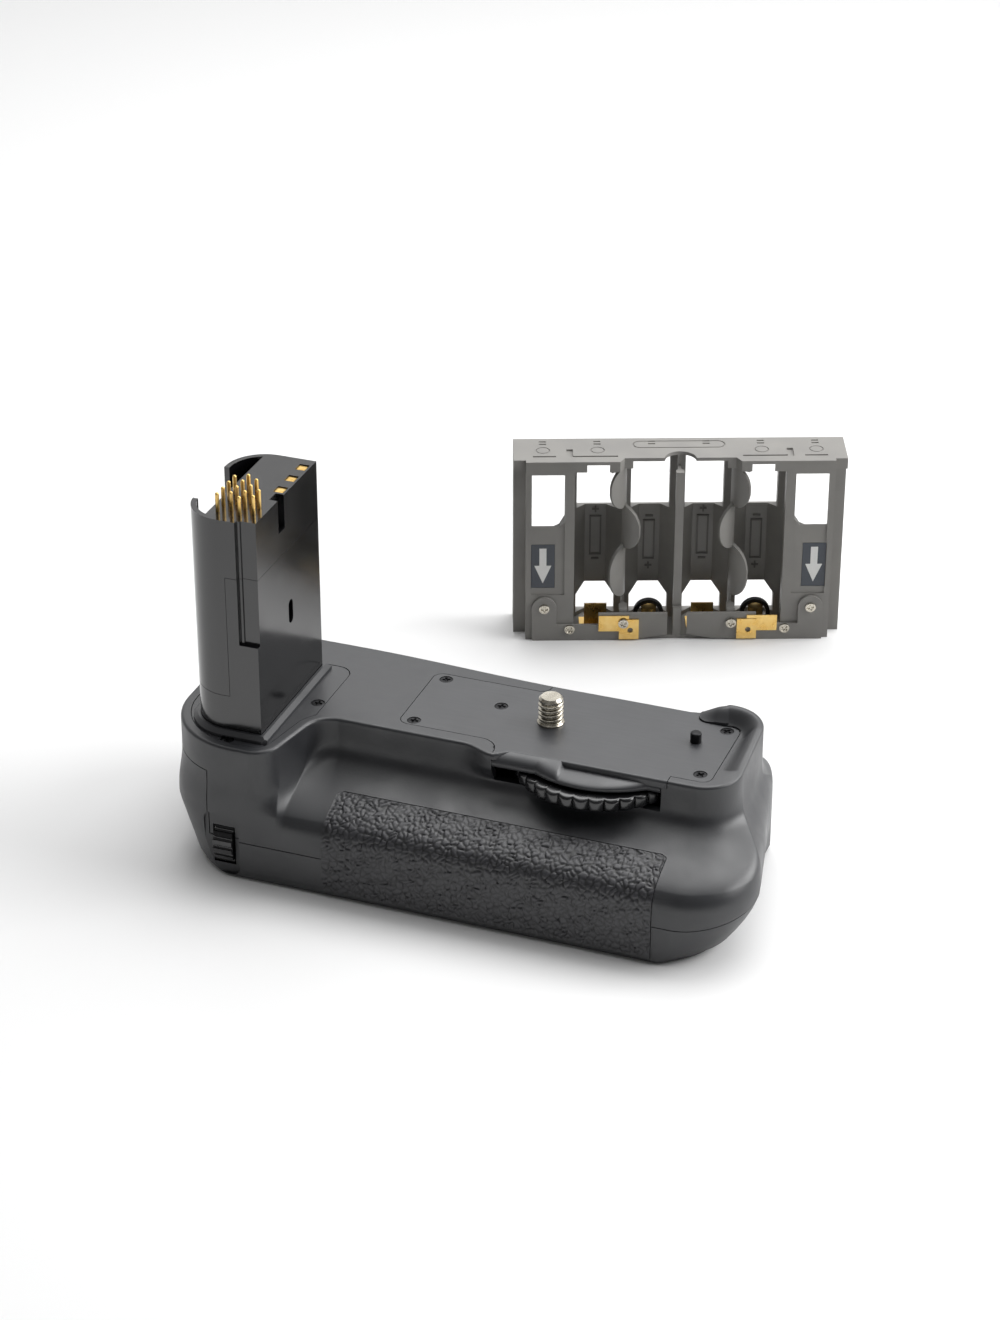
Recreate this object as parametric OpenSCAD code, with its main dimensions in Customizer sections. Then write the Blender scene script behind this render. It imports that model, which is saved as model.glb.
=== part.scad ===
// Camera battery grip with a battery-shaped tower, a tightening wheel and a six-cell tray.
// Origin: on the floor, under the axis of the camera screw. +X runs along the grip to the right,
// -Y is the front, +Z is up. Millimetres.

/* [Housing] */
// Height of the deck that the camera sits on
deck_z = 38; // [36:0.5:44]
// Distance from the screw axis to the left end
base_left = 90.8; // [88:0.2:98]
// Room between the battery chamber and the right end
end_room = 14.8; // [14.4:0.2:18]
// Room between the battery chamber and the front of the base
front_room = 8.4; // [8.2:0.2:12]
// Back of the base
base_back = 26.4; // [26:0.2:28]
// Plan radius of the left front corner
left_front_r = 21; // [18:1:24]
// The same at the floor, where the corner is tighter
base_left_r = 17; // [14:1:20]
// Plan radius of the left back corner
left_back_r = 14; // [8:1:16]
// Plan radius of the right front corner of the base
right_front_r = 17; // [10:1:18]
// Plan radius of the right back corner of the base
right_back_r = 8; // [3:0.5:9]
// Angle by which the right end leans in towards the back
right_rake = 12.6; // [8:0.2:14]
// Wall thickness of the shells
wall = 1.8; // [1.4:0.1:2.2]
// Floor thickness
floor_t = 1.4; // [1.2:0.1:2]
// Rounding of the bottom edge
bottom_r = 2; // [1.5:0.25:3]
// How far the left end slants in at the floor
left_slant = 5.6; // [4:0.2:8]
// Height at which that slant starts
slant_z = 17; // [15:0.5:20]
// How far the right end rounds in at the floor
right_slant = 8.4; // [5:0.2:9]
// Height at which that rounding starts
right_slant_z = 15; // [12:0.5:17]
// Height of the shoulder where the front swells out under the neck
front_shoulder_z = 23.7; // [22.5:0.1:25]
// Share of the step from front to back shoulder that the right end takes
end_rise = 0.28; // [0.1:0.02:0.4]
// Softness of the front shoulder
front_soft = 1.65; // [1.2:0.05:2]
// Height of the shoulder at the back
back_shoulder_z = 35; // [33:0.25:36]
// Softness of the back shoulder
back_soft = 1.2; // [0.8:0.1:1.5]
// Height of the parting line at the front
parting_z = 11; // [6:0.5:13]
// Rise of the parting line per millimetre towards the back
parting_slope = 0.16; // [0.12:0.01:0.22]
// Height of the parting line round the left end
end_parting_z = 29.5; // [28:0.5:31]
// Distance from the screw axis to the upright part of that parting line
end_parting_x = 77; // [76:0.5:79]

/* [Deck] */
// Front edge of the deck, measured from the screw axis
deck_front = 17.3; // [16.5:0.1:18.5]
// Back edge of the deck at its left end
deck_back_left = 20; // [18:0.1:21]
// Back edge of the deck in the middle
deck_back = 17.7; // [16.5:0.1:19]
// Right end of the deck
deck_right = 52.4; // [51:0.2:55]
// Plan radius of the right corners of the deck
deck_corner_r = 10; // [7:0.5:11]
// Plan radius of the two bends between the left block and the neck
bend_r = 7; // [5:0.5:8]
// Distance from the screw axis to the right side of the left block
block_right = 58.8; // [58:0.2:63]
// Height of the lip round the right end
lip_h = 3.8; // [2:0.2:5]
// Distance from the screw axis to the start of the lip
lip_start = 31.5; // [30:0.5:36]
// Distance over which the lip rises
lip_run = 10; // [8:0.5:14]
// Thickness of the deck plate
plate_t = 2; // [1.6:0.2:2.4]
// Left end of the deck plate
plate_left = 35.9; // [34:0.5:38]
// Right end of the deck plate
plate_right = 45.9; // [44:0.5:47]
// Length of the screw pattern of the deck plate
plate_screw_x = 75; // [70:0.5:76]
// Width of the screw pattern of the deck plate
plate_screw_y = 22.2; // [20:0.2:23]
// Shank radius of the small screws
screw_r = 0.9; // [0.7:0.05:1]
// Head radius of the small screws
screw_head_r = 1.8; // [1.5:0.1:2]

/* [Camera interface] */
// Radius of the camera screw
cam_screw_r = 3.175; // [3.175:0.1:4.775]
// Height of the camera screw above the deck
cam_screw_h = 7.5; // [4.5:0.5:8]
// Radius of the collar at the foot of the camera screw
cam_collar_r = 3.9; // [3.5:0.1:5.2]
// Distance from the screw axis to the locating pin
pin_x = 36.8; // [32:0.2:40]
// Sideways offset of the locating pin
pin_y = 3.6; // [0:0.2:6]
// Radius of the locating pin
pin_r = 1.4; // [1:0.1:2]
// Height of the locating pin above the deck
pin_h = 3; // [2:0.25:4]

/* [Tightening wheel] */
// Radius of the wheel over its ribs
wheel_r = 21.8; // [20.5:0.1:22]
// Number of ribs round the wheel
wheel_ribs = 34; // [24:2:48]
// Thickness of the rim
wheel_t = 3.5; // [2.5:0.1:3.6]
// Number of teeth of the wheel gear and of the screw gear
gear_teeth = 22; // [20:1:24]
// Gear module
gear_module = 0.7; // [0.65:0.01:0.72]
// Thickness of the gears
gear_t = 1.5; // [1:0.1:1.6]
// Direction from the screw axis to the wheel axis
wheel_angle = -16.7; // [-22:0.1:-12]
// Radius of the wheel axle
axle_r = 2; // [1.5:0.1:2.5]
// Left side of the window that the wheel shows through
window_left = 8.4; // [7:0.2:9]
// Right side of that window
window_right = 34.7; // [33.5:0.1:36]

/* [Tower] */
// Right, flat side of the tower
tower_right = 63.9; // [63:0.1:64.5]
// Thickness of the tower
tower_t = 20.1; // [19:0.1:21]
// Front side of the tower
tower_front = 33.8; // [32:0.2:34.4]
// Width of the tower
tower_w = 38.2; // [36:0.2:39]
// Plan radius of the two rounded corners
tower_round = 10; // [7:0.5:10]
// Height of the top of the tower above the deck
tower_h = 59.5; // [50:0.5:66]
// Wall of the tower
tower_wall = 1.6; // [1.2:0.1:2]
// Height of the cap seam above the deck
cap_seam = 44; // [40:0.5:48]
// Depth of the grooved front edge, measured down from the top
groove_h = 33.5; // [28:0.5:36]
// Pitch of the signal pins across the tower
pin_pitch_x = 2.9; // [2.5:0.1:2.9]
// Pitch of the signal pins along the tower
pin_pitch_y = 3.4; // [3:0.1:3.6]
// Radius of a signal pin
signal_pin_r = 0.5; // [0.35:0.05:0.6]
// Height of the signal pins above the tower
signal_pin_h = 5; // [3:0.25:6]

/* [Battery chamber] */
// Thickness of the chamber liner
liner_t = 0.8; // [0.6:0.1:1]
// Clearance round the tray in its chamber
tray_gap = 0.4; // [0.3:0.05:0.6]
// Left inner side of the chamber
chamber_left = 46.8; // [45:0.2:47.4]
// Radius of the hinge barrel
barrel_r = 2; // [1.6:0.1:2.1]
// Radius of the hinge pin
hinge_pin_r = 0.8; // [0.5:0.05:1]
// Travel of the latch
latch_travel = 4; // [3:0.5:5]
// Radius of the tripod thread
tripod_r = 3.175; // [3.175:0.1:4.775]
// Depth of the tripod thread
tripod_depth = 6.5; // [5.5:0.5:8]

/* [Controls] */
// Radius of the command dials
dial_r = 7.4; // [6.5:0.1:7.6]
// Width of the command dials
dial_w = 5.2; // [4:0.2:6]
// Number of ribs on a command dial
dial_ribs = 20; // [14:2:28]
// Radius of the dial axles
dial_axle_r = 1; // [0.8:0.1:1.4]
// Radius of the shutter button
shutter_r = 5.5; // [4.5:0.1:6]
// Outer radius of the lock ring round the shutter button
lock_r = 8.2; // [7.6:0.1:9]
// Radius of the focus button
af_r = 4; // [3:0.1:5]
// Travel of the buttons
button_travel = 0.8; // [0.5:0.1:1]

/* [Tray] */
// Width of the tray
tray_w = 93; // [92.2:0.1:94]
// Height of the tray as it stands
tray_h = 55.8; // [54:0.1:58]
// Thickness of the tray
tray_t = 16.4; // [16:0.1:17]
// Radius of a cell bay
cell_r = 7.3; // [7.25:0.01:7.35]
// Pitch of the cell bays
cell_pitch = 15.3; // [15:0.01:15.4]
// Turn of the tray on the floor
tray_turn = 21.4; // [0:0.1:40]
// Left front corner of the tray, along the grip
tray_x = -47.3; // [-60:0.1:-20]
// Left front corner of the tray, behind the grip
tray_y = 101.2; // [70:0.2:140]

/* [Fits] */
// Radial clearance of a running fit
run = 0.05; // [0.03:0.01:0.09]
// Clearance between pieces that move past each other
clear = 0.4; // [0.3:0.05:0.5]
// Joint gap between fixed pieces
seam = 0.1; // [0.05:0.05:0.2]

/* [Hidden] */
$fn = 48;
big = 200;
cut = 1;

// The base is as long and as deep as the chamber for the tray needs.
chamber_x = [-chamber_left, -chamber_left + tray_w + 2 * tray_gap];
door_t = wall;
door_in = base_back - door_t;
base_right = chamber_x[1] + end_room;
base_front = tray_h + tray_gap - door_in + front_room;

// Outline of the housing in plan: points along the front and along the back, left to right.
arc_n = 8;
bend_n = 5;
block_n = 10;
neck_n = 7;
front_n = arc_n + 2 * bend_n + neck_n + arc_n;
ring_n = 2 * front_n;

function arc(c, r, from, to, n) =
    [for (k = [0 : n - 1]) let (a = mix(from, to, k / (n - 1))) c + r * [cos(a), sin(a)]];
function mix(a, b, t) = a + (b - a) * t;
function smooth(t) = let (u = min(max(t, 0), 1)) u * u * (3 - 2 * u);
function reversed(list) = [for (k = [len(list) - 1 : -1 : 0]) list[k]];
function swell(s) = 1 / (1 + exp(-s));

// Back line of the deck as a function of x.
function deck_back_y(x) = mix(deck_back_left, deck_back, smooth((x + block_right) / block_right));

// Stations that the base and the deck share along the bends, the neck and the left block.
neck_from = -45;
neck_to = 38;
neck_xs = [for (k = [0 : neck_n - 1]) mix(neck_from, neck_to, k / (neck_n - 1))];
block_xs = [for (k = [0 : block_n - 1]) mix(-base_left + left_back_r + 4, -48, k / (block_n - 1))];
bend_out = [-block_right - bend_r, -base_front + bend_r];
bend_in = [-block_right + bend_r + 2, -deck_front - bend_r];
bend_d = bend_in - bend_out;
bend_turn = atan2(bend_d[1], bend_d[0]) + asin(2 * bend_r / norm(bend_d)) - 90;

left_front_c = [-base_left + left_front_r, -base_front + left_front_r];
deck_rf_c = [deck_right - deck_corner_r, -deck_front + deck_corner_r];
deck_rb_c = [deck_right - deck_corner_r, deck_back + 0.6 - deck_corner_r];
base_lf_c = [-base_left + base_left_r, -base_front + base_left_r];
base_rf_c = [base_right - right_front_r, -base_front + right_front_r];
rake_at = base_rf_c + right_front_r * [cos(right_rake), sin(right_rake)];
base_rb_y = base_back - right_back_r;
base_rb_in = right_back_r + (base_rb_y - rake_at[1]) * sin(right_rake);
base_rb_c = [rake_at[0] - base_rb_in / cos(right_rake), base_rb_y];

deck_front_pts = concat(
    arc(left_front_c, left_front_r, 180, 270, arc_n),
    arc(bend_out, bend_r, 275, 360 + bend_turn, bend_n),
    arc(bend_in, bend_r, 180 + bend_turn, 92, bend_n),
    [for (x = neck_xs) [x, -deck_front]],
    arc(deck_rf_c, deck_corner_r, 275, 360, arc_n));
deck_back_pts = concat(
    arc([-base_left + left_back_r, deck_back_left - left_back_r], left_back_r, 180, 90, arc_n),
    [for (x = block_xs) [x, deck_back_y(x)]],
    [for (k = [1 : neck_n]) let (x = mix(-48, deck_rb_c[0] - 2, k / neck_n)) [x, deck_back_y(x)]],
    arc(deck_rb_c, deck_corner_r, 100, 4, arc_n));
base_front_pts = concat(
    arc(base_lf_c, base_left_r, 180, 270, arc_n),
    [for (k = [1 : 2 * bend_n]) [mix(left_front_c[0], neck_from, k / (2 * bend_n + 1)), -base_front]],
    [for (x = neck_xs) [x, -base_front]],
    arc(base_rf_c, right_front_r, 272, 360 + right_rake, arc_n));
base_back_pts = concat(
    arc([-base_left + left_back_r, base_back - left_back_r], left_back_r, 180, 90, arc_n),
    [for (x = block_xs) [x, base_back]],
    [for (k = [1 : neck_n]) [mix(-48, base_rb_c[0] - 2, k / neck_n), base_back]],
    arc(base_rb_c, right_back_r, 90, right_rake, arc_n));
deck_ring = concat(deck_front_pts, reversed(deck_back_pts));
base_ring = concat(base_front_pts, reversed(base_back_pts));

// Shoulder height and softness at each station turn from front to back values round the right end.
function backness(i) = end_rise * smooth((i - front_n + arc_n / 2) / arc_n)
    + (1 - end_rise) * smooth((i - front_n - arc_n) / (0.6 * neck_n));
function ring_normal(ring, i) =
    let (d = ring[(i + 1) % ring_n] - ring[(i + ring_n - 1) % ring_n]) [d[1], -d[0]] / norm(d);
// The left end slants in under the deck; the right end rounds in, less and less towards the door.
function end_round(p, z) =
    right_slant * pow(max(0, right_slant_z - z) / right_slant_z, 1.5) * smooth((12 - p[1]) / 24);
function slant_in(p, z) = left_slant * max(0, slant_z - z) / slant_z * smooth((-p[0] - 66) / 18)
    - end_round(p, z) * smooth((p[0] - base_right + 26) / 20);
function plan_ring(z, inset) =
    [for (i = [0 : ring_n - 1])
        let (b = backness(i))
        let (s = z + inset - mix(front_shoulder_z, back_shoulder_z, b))
        let (p = mix(base_ring[i], deck_ring[i], swell(s / mix(front_soft, back_soft, b))))
        p + [slant_in(p, z), 0]];
function inset_ring(ring, inset) = [for (i = [0 : ring_n - 1]) ring[i] - inset * ring_normal(ring, i)];
function mid_ring(ring) = [for (i = [0 : ring_n - 1]) mix(ring[i], ring[(i + 1) % ring_n], 0.45)];
function at_height(ring, z) = [for (p = ring) [p[0], p[1], z]];

// Lip round the right end: height of the rim above the deck.
function lip_at(p) = lip_h * smooth((p[0] - lip_start) / lip_run) * smooth((p[1] + 14) / 24);
function rim_ring(inset, share, drop) =
    let (ring = inset_ring(deck_ring, inset))
    [for (i = [0 : ring_n - 1]) [ring[i][0], ring[i][1], deck_z - drop + share * lip_at(deck_ring[i])]];

rim_r = 0.8;
lip_top = 1.8;
lip_foot = 5.5;
collar_rim = 2.7;
outer_levels = [bottom_r, 6, 12.4, slant_z - 0.5, front_shoulder_z - 3.5, front_shoulder_z - 1.7,
    front_shoulder_z, front_shoulder_z + 1.7, front_shoulder_z + 3.7, 30, 32.5, 34, 35.2, 36.4];
outer_rings = concat(
    [for (a = [90, 45])
        at_height(inset_ring(plan_ring(0, 0), bottom_r * (1 - cos(a))), bottom_r * (1 - sin(a)))],
    [for (z = outer_levels) at_height(plan_ring(z, 0), z)],
    [rim_ring(0, 1, rim_r), rim_ring(rim_r, 1, 0), rim_ring(lip_top, 0.9, 0), rim_ring(lip_foot, 0, 0)]);
inner_roof = deck_z - 3.6;
inner_levels = [floor_t, 6, 12.4, slant_z - 0.5, slant_z + 1.2, front_shoulder_z - wall - 1.7, front_shoulder_z - wall,
    front_shoulder_z - wall + 1.7, front_shoulder_z + 1.9, 29, 32, inner_roof];
inner_rings = [for (z = inner_levels) at_height(inset_ring(plan_ring(z, wall), wall), z)];

// Closed solid through a stack of rings, with ladder faces across its two ends.
module loft(rings) {
    n = ring_n;
    half = n / 2;
    last = (len(rings) - 1) * n;
    sides = [for (k = [0 : len(rings) - 2], i = [0 : n - 1], t = [0, 1])
        let (a = k * n + i, b = k * n + (i + 1) % n)
        t == 0 ? [a, b + n, b] : [a, a + n, b + n]];
    floor_faces = [for (k = [0 : half - 2], t = [0, 1])
        t == 0 ? [k, k + 1, n - 2 - k] : [k, n - 2 - k, n - 1 - k]];
    roof_faces = [for (f = floor_faces) [last + f[2], last + f[1], last + f[0]]];
    polyhedron(points = [for (r = rings, p = r) p], faces = concat(sides, floor_faces, roof_faces));
}

module box(from, to) {
    translate(from) cube(to - from);
}

module rounded_2d(from, to, r) {
    translate([from[0] + r, from[1]]) square([to[0] - from[0] - 2 * r, to[1] - from[1]]);
    translate([from[0], from[1] + r]) square([to[0] - from[0], to[1] - from[1] - 2 * r]);
    for (x = [from[0] + r, to[0] - r], y = [from[1] + r, to[1] - r]) translate([x, y]) circle(r);
}

function parting_at(p) =
    p[0] < -end_parting_x ? end_parting_z : parting_z + parting_slope * (p[1] + base_front);

module post(p, r, z0, z1) {
    translate([p[0], p[1], z0]) cylinder(r = r, h = z1 - z0);
}

// Countersunk screw with its head at the top, and the hole that takes it.
module small_screw(p, top, length) {
    post(p, screw_r, top - length, top - screw_head_r / 2);
    translate([p[0], p[1], top - screw_head_r])
        cylinder(r1 = screw_r, r2 = screw_head_r, h = screw_head_r - 0.3);
    post(p, screw_head_r, top - 0.3, top);
}
module small_screw_hole(p, top, length) {
    post(p, screw_r + seam / 2, top - length - 0.5, top);
    translate([p[0], p[1], top - screw_head_r])
        cylinder(r1 = screw_r + seam, r2 = screw_head_r + seam, h = screw_head_r - 0.3);
    post(p, screw_head_r + seam, top - 0.3, top + cut);
}

// Places that several pieces share.
plate_mid_x = (plate_right - plate_left) / 2;
plate_screws = concat(
    [for (sx = [-1, 1], sy = [-1, 1]) [plate_mid_x + 0.1 + sx * plate_screw_x / 2, sy * plate_screw_y / 2]],
    [[-14.4, 3.2]]);
plate_z = deck_z - plate_t;
plate_fillet = 5;
plate_screw_l = 5.5;
pin_foot_r = pin_r + 0.8;
boss_r = 2.6;

gear_pitch_r = gear_module * gear_teeth / 2;
wheel_c = 2 * gear_pitch_r * [cos(wheel_angle), sin(wheel_angle)];
gear_top = plate_z - clear;
gear_z = gear_top - gear_t;
wheel_top = gear_z - 0.3;
wheel_z = wheel_top - wheel_t;
axle_foot = wheel_z - 1.5;
well_from = [-gear_pitch_r - 1.8, wheel_c[1] - gear_pitch_r - 1.8];
well_to = [wheel_c[0] + gear_pitch_r + 1.8, gear_pitch_r + 1.8];

tower_x = [-tower_right - tower_t, -tower_right];
tower_y = [-tower_front, -tower_front + tower_w];
tower_top = deck_z + tower_h;
tower_flange = 1;
collar_drop = 0.6;
collar_right = -56.5;
collar_back = tower_y[1] + 3.4;
collar_screws_at = [[-58.4, -11.4], [-72.3, -36], [-86.6, -8]];

tray_top_z = floor_t + liner_t + tray_t + tray_gap;
chamber_y = [door_in - tray_h - tray_gap, base_back - 2 * barrel_r - 0.1 - clear];
chamber_z = [floor_t + liner_t, tray_top_z];
latch_room = 6.5;
door_x = [chamber_x[0] - latch_room, chamber_x[1] - 0.1];
door_top = chamber_z[1] + 1.2;
hinge_y = base_back - barrel_r - 0.1;
hinge_z = barrel_r + 0.1;
lug_w = 2.4;

bush_c = [chamber_x[0] - 8.6, -3];
bush_r = 5.5;
shell_screws_at = [[-54, -29.5], [-57, base_back - 8.5], [-82, 12],
    [chamber_x[1] - 11, chamber_y[0] - 4]];
shell_screw_hold = 5.5;
board_bosses = [[-59.5, -9], [-59.5, 9.5], [-74, 9.5]];
board_z = 24;
board_t = 1.2;

sub_dial_c = [-73, -base_front + dial_r - 0.6, 8.8];
main_dial_c = [-70, base_back - dial_r + 0.6, 9.4];
dial_lug_t = 1.6;
shutter_tilt = atan2(left_slant, slant_z);
shutter_z = 9;
shutter_c = [-base_left + left_slant * (slant_z - shutter_z) / slant_z, -6, shutter_z];
shutter_travel = 1.4;
sleeve_r = shutter_r + 1.1;
switch_top = -wall - 1.2 - shutter_travel - 0.25;
switch_foot = switch_top - 4;
af_c = [-60, base_back, 12.5];

// Parting: everything that belongs to the lower shell.
module lower_side() {
    rotate([90, 0, 90]) translate([0, 0, -end_parting_x])
        linear_extrude(big) polygon([[-big, -big], [big, -big],
            [big, parting_z + parting_slope * (big + base_front)],
            [-big, parting_z - parting_slope * (big - base_front)]]);
    box([-big, -big, -big], [-end_parting_x, big, end_parting_z]);
}

// Front panel patch between two offsets from the loft surface.
panel_x = [-46, 40];
panel_z = [bottom_r, front_shoulder_z + 0.2];
panel_proud = 0.25;
panel_depth = 0.9;
panel_cols = 5;
panel_rows = 12;
function front_y(x, z) = mix(-base_front, -deck_front, swell((z - front_shoulder_z) / front_soft));
function front_point(x, z, off) =
    let (h = 0.05, t = [front_y(x, z + h) - front_y(x, z - h), 2 * h], n = [-t[1], t[0]] / norm(t))
    [x, front_y(x, z) + off * n[0], z + off * n[1]];
module front_patch(grow, inner, outer) {
    nx = panel_cols;
    nz = panel_rows;
    xs = [for (k = [0 : nx - 1]) mix(panel_x[0] - grow, panel_x[1] + grow, k / (nx - 1))];
    zs = [for (k = [0 : nz - 1])
        mix(panel_z[0] - grow, panel_z[1] + grow, smooth(k / (nz - 1) * 0.5 + 0.5) * 2 - 1)];
    count = nx * nz;
    points = [for (depth = [outer, inner], z = zs, x = xs) front_point(x, z, depth)];
    grid = [for (j = [0 : nz - 2], i = [0 : nx - 2], t = [0, 1])
        let (a = j * nx + i)
        t == 0 ? [a, a + nx, a + nx + 1] : [a, a + nx + 1, a + 1]];
    back = [for (f = grid) [f[2] + count, f[1] + count, f[0] + count]];
    edge = concat([for (i = [0 : nx - 1]) i], [for (j = [1 : nz - 1]) j * nx + nx - 1],
        [for (i = [1 : nx - 1]) count - 1 - i], [for (j = [1 : nz - 2]) (nz - 1 - j) * nx]);
    rim = [for (k = [0 : len(edge) - 1], t = [0, 1])
        let (a = edge[k], b = edge[(k + 1) % len(edge)])
        t == 0 ? [a, b, b + count] : [a, b + count, a + count]];
    polyhedron(points = points, faces = concat(grid, back, rim));
}

// Hollow inside the two shells, less the bosses and lugs that stand in it.
module hollow() {
    difference() {
        loft(inner_rings);
        for (p = shell_screws_at) post(p, boss_r, 0, deck_z);
        for (p = plate_screws) post(p, boss_r, plate_z - plate_screw_l - 0.5, deck_z);
        for (p = collar_screws_at) post(p, boss_r, plate_z - 6, deck_z);
        for (p = board_bosses) post(p, boss_r, board_z + board_t, deck_z);
        for (x = [[door_x[0] - lug_w - clear, door_x[0] - clear], [door_x[1] + clear, door_x[1] + lug_w]])
            box([x[0], hinge_y - barrel_r, 0], [x[1], base_back, hinge_z + barrel_r]);
        for (c = [sub_dial_c, main_dial_c], s = [-1, 1])
            dial_lug(c, s);
        intersection() {
            at_shutter() box([-30, -4.5, switch_foot - 2.5], [5, 9.5, switch_foot]);
            union() {
                box([-big, -big, -cut], [-end_parting_x - seam, big, end_parting_z - 2]);
                box([-big, -big, -cut], [-60, big, parting_z + 3]);
            }
        }
    }
}
module dial_lug(c, side) {
    inner = dial_w / 2 + clear;
    out = c[1] < 0 ? -1 : 1;
    x = side > 0 ? [inner, inner + dial_lug_t] : [-inner - dial_lug_t, -inner];
    y = out < 0 ? [c[1] - dial_r - 2, c[1] + 2.4] : [c[1] - 2.4, c[1] + dial_r + 2];
    box([c[0] + x[0], y[0], 0], [c[0] + x[1], y[1], c[2] + 2.4]);
}
module dial_room(c) {
    translate([c[0], c[1], c[2]]) rotate([0, 90, 0])
        cylinder(r = dial_r + clear, h = dial_w + 2 * clear, center = true);
}
module dial_bore(c) {
    translate(c) rotate([0, 90, 0]) cylinder(r = dial_axle_r + run, h = dial_w + 8, center = true);
}
module at_shutter() {
    translate(shutter_c) rotate([0, -90 - shutter_tilt, 0]) children();
}

module plate_outline(back) {
    rounded_2d([-plate_left, -13.2], [-4, 13.6], 2.5);
    translate([-5.5, -13]) square([39.4, 13 + back]);
    translate([-window_left, -deck_front]) square([window_left + 36, 10]);
    difference() {
        translate([-window_left - plate_fillet, -13.2 - plate_fillet]) square(plate_fillet + 0.1);
        translate([-window_left - plate_fillet, -13.2 - plate_fillet]) circle(plate_fillet);
    }
    rounded_2d([25, -14.4], [plate_right, 13.2], 2.5);
}
module tower_2d(g) {
    r = tower_round + g;
    x0 = tower_x[0] - g;
    x1 = tower_x[1] + g;
    y0 = tower_y[0] - g;
    y1 = tower_y[1] + g;
    translate([x0 + r, y0]) square([x1 - x0 - r, y1 - y0]);
    translate([x0, y0 + r]) square([r + cut, y1 - y0 - 2 * r]);
    for (y = [y0 + r, y1 - r]) translate([x0 + r, y]) circle(r);
}
module collar_2d(g) {
    intersection() {
        polygon(mid_ring(inset_ring(deck_ring, collar_rim - g)));
        rounded_2d([-big, -big], [collar_right + g, collar_back + g], 4);
    }
}

// Housing
module top_shell() color("#2b2c30") {
    difference() {
        loft(outer_rings);
        hollow();
        lower_side();
        front_patch(0.15, -panel_depth - 0.05, 4);
        translate([0, 0, plate_z]) linear_extrude(big) plate_outline(base_back);
        box([well_from[0], well_from[1], inner_roof - cut], [well_to[0], well_to[1], plate_z + cut]);
        box([-window_left, -big, wheel_z - 0.7], [window_right, well_from[1] + cut, plate_z + cut]);
        translate([wheel_c[0], wheel_c[1], wheel_z - 0.7])
            cylinder(r = wheel_r + clear, h = wheel_t + 0.7 + clear / 2);
        for (p = plate_screws) post(p, screw_r + seam / 2, plate_z - plate_screw_l, plate_z + cut);
        translate([0, 0, plate_z]) linear_extrude(big) collar_2d(seam);
        translate([0, 0, plate_z - 1]) linear_extrude(big) tower_2d(tower_flange + seam);
        translate([0, 0, inner_roof - cut]) linear_extrude(big) tower_2d(seam);
        for (p = collar_screws_at) small_screw_hole(p, deck_z - collar_drop, 5);
        for (p = shell_screws_at) post(p, screw_r + seam / 2, -cut, parting_at(p) + shell_screw_hold + 0.5);
        for (p = board_bosses) post(p, screw_r + seam / 2, 0, board_z + 6);
        for (c = [sub_dial_c, main_dial_c]) {
            dial_room(c);
            dial_bore(c);
        }
        translate([af_c[0], af_c[1] + cut, af_c[2]]) rotate([90, 0, 0]) cylinder(r = af_r + run, h = 8);
    }
}

module bottom_shell() color("#2b2c30") {
    difference() {
        intersection() {
            loft(outer_rings);
            lower_side();
        }
        hollow();
        front_patch(0.15, -panel_depth - 0.05, 4);
        box([door_x[0] - clear, hinge_y - barrel_r - clear, -cut],
            [door_x[1] + clear, big, door_top + clear]);
        translate([0, hinge_y, hinge_z]) rotate([0, 90, 0])
            cylinder(r = hinge_pin_r + run, h = big, center = true);
        post(bush_c, bush_r + seam / 2, -cut, floor_t + cut);
        for (p = shell_screws_at) {
            post(p, screw_r + seam / 2, -cut, parting_at(p) + shell_screw_hold + 0.5);
            post(p, screw_head_r + seam, -cut, 1.2);
        }
        for (c = [sub_dial_c, main_dial_c]) {
            dial_room(c);
            dial_bore(c);
        }
        at_shutter() translate([0, 0, -8]) cylinder(r = sleeve_r + run, h = 20);
        translate([af_c[0], af_c[1] + cut, af_c[2]]) rotate([90, 0, 0]) cylinder(r = af_r + run, h = 8);
    }
}

module grip_rubber() color("#232427") front_patch(0, -panel_depth, panel_proud);

module deck_plate() color("#34363a") {
    apron_z = wheel_top + 0.8;
    difference() {
        union() {
            intersection() {
                loft(outer_rings);
                translate([0, 0, plate_z]) linear_extrude(big) plate_outline(base_back);
            }
            box([-window_left + seam, -deck_front, apron_z],
                [window_right - seam, -deck_front + wall, plate_z + cut]);
            box([-window_left + seam, -deck_front - 2.7, plate_z - 0.4], [9.5, -deck_front + cut, deck_z]);
            translate([0, 0, apron_z]) linear_extrude(plate_z - apron_z + 0.2) intersection() {
                translate([15, 3]) circle(26);
                translate([-big / 2, -big - deck_front + wall]) square(big);
                translate([-window_left + seam, -big]) square([window_left + window_right - 2 * seam, big]);
            }
        }
        post([0, 0], cam_screw_r + run, 0, big);
        post([pin_x, pin_y], pin_foot_r + 0.02, plate_z + 0.6, big);
        post(wheel_c, axle_r + 0.02, 0, plate_z + 1.1);
        for (p = plate_screws) small_screw_hole(p, deck_z, plate_screw_l);
    }
}

module deck_screws() color("#1c1c1e") for (p = plate_screws) small_screw(p, deck_z - 0.05, plate_screw_l);

// Camera screw, its gear and the wheel that drives it
module camera_screw() color("#b9b6b0") {
    tip = 0.7;
    collar_h = 0.8;
    post([0, 0], cam_screw_r, gear_z, deck_z + cam_screw_h - tip);
    translate([0, 0, deck_z + cam_screw_h - tip])
        cylinder(r1 = cam_screw_r, r2 = cam_screw_r - tip, h = tip);
    translate([0, 0, deck_z + run]) cylinder(r = cam_collar_r, h = collar_h);
}

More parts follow.
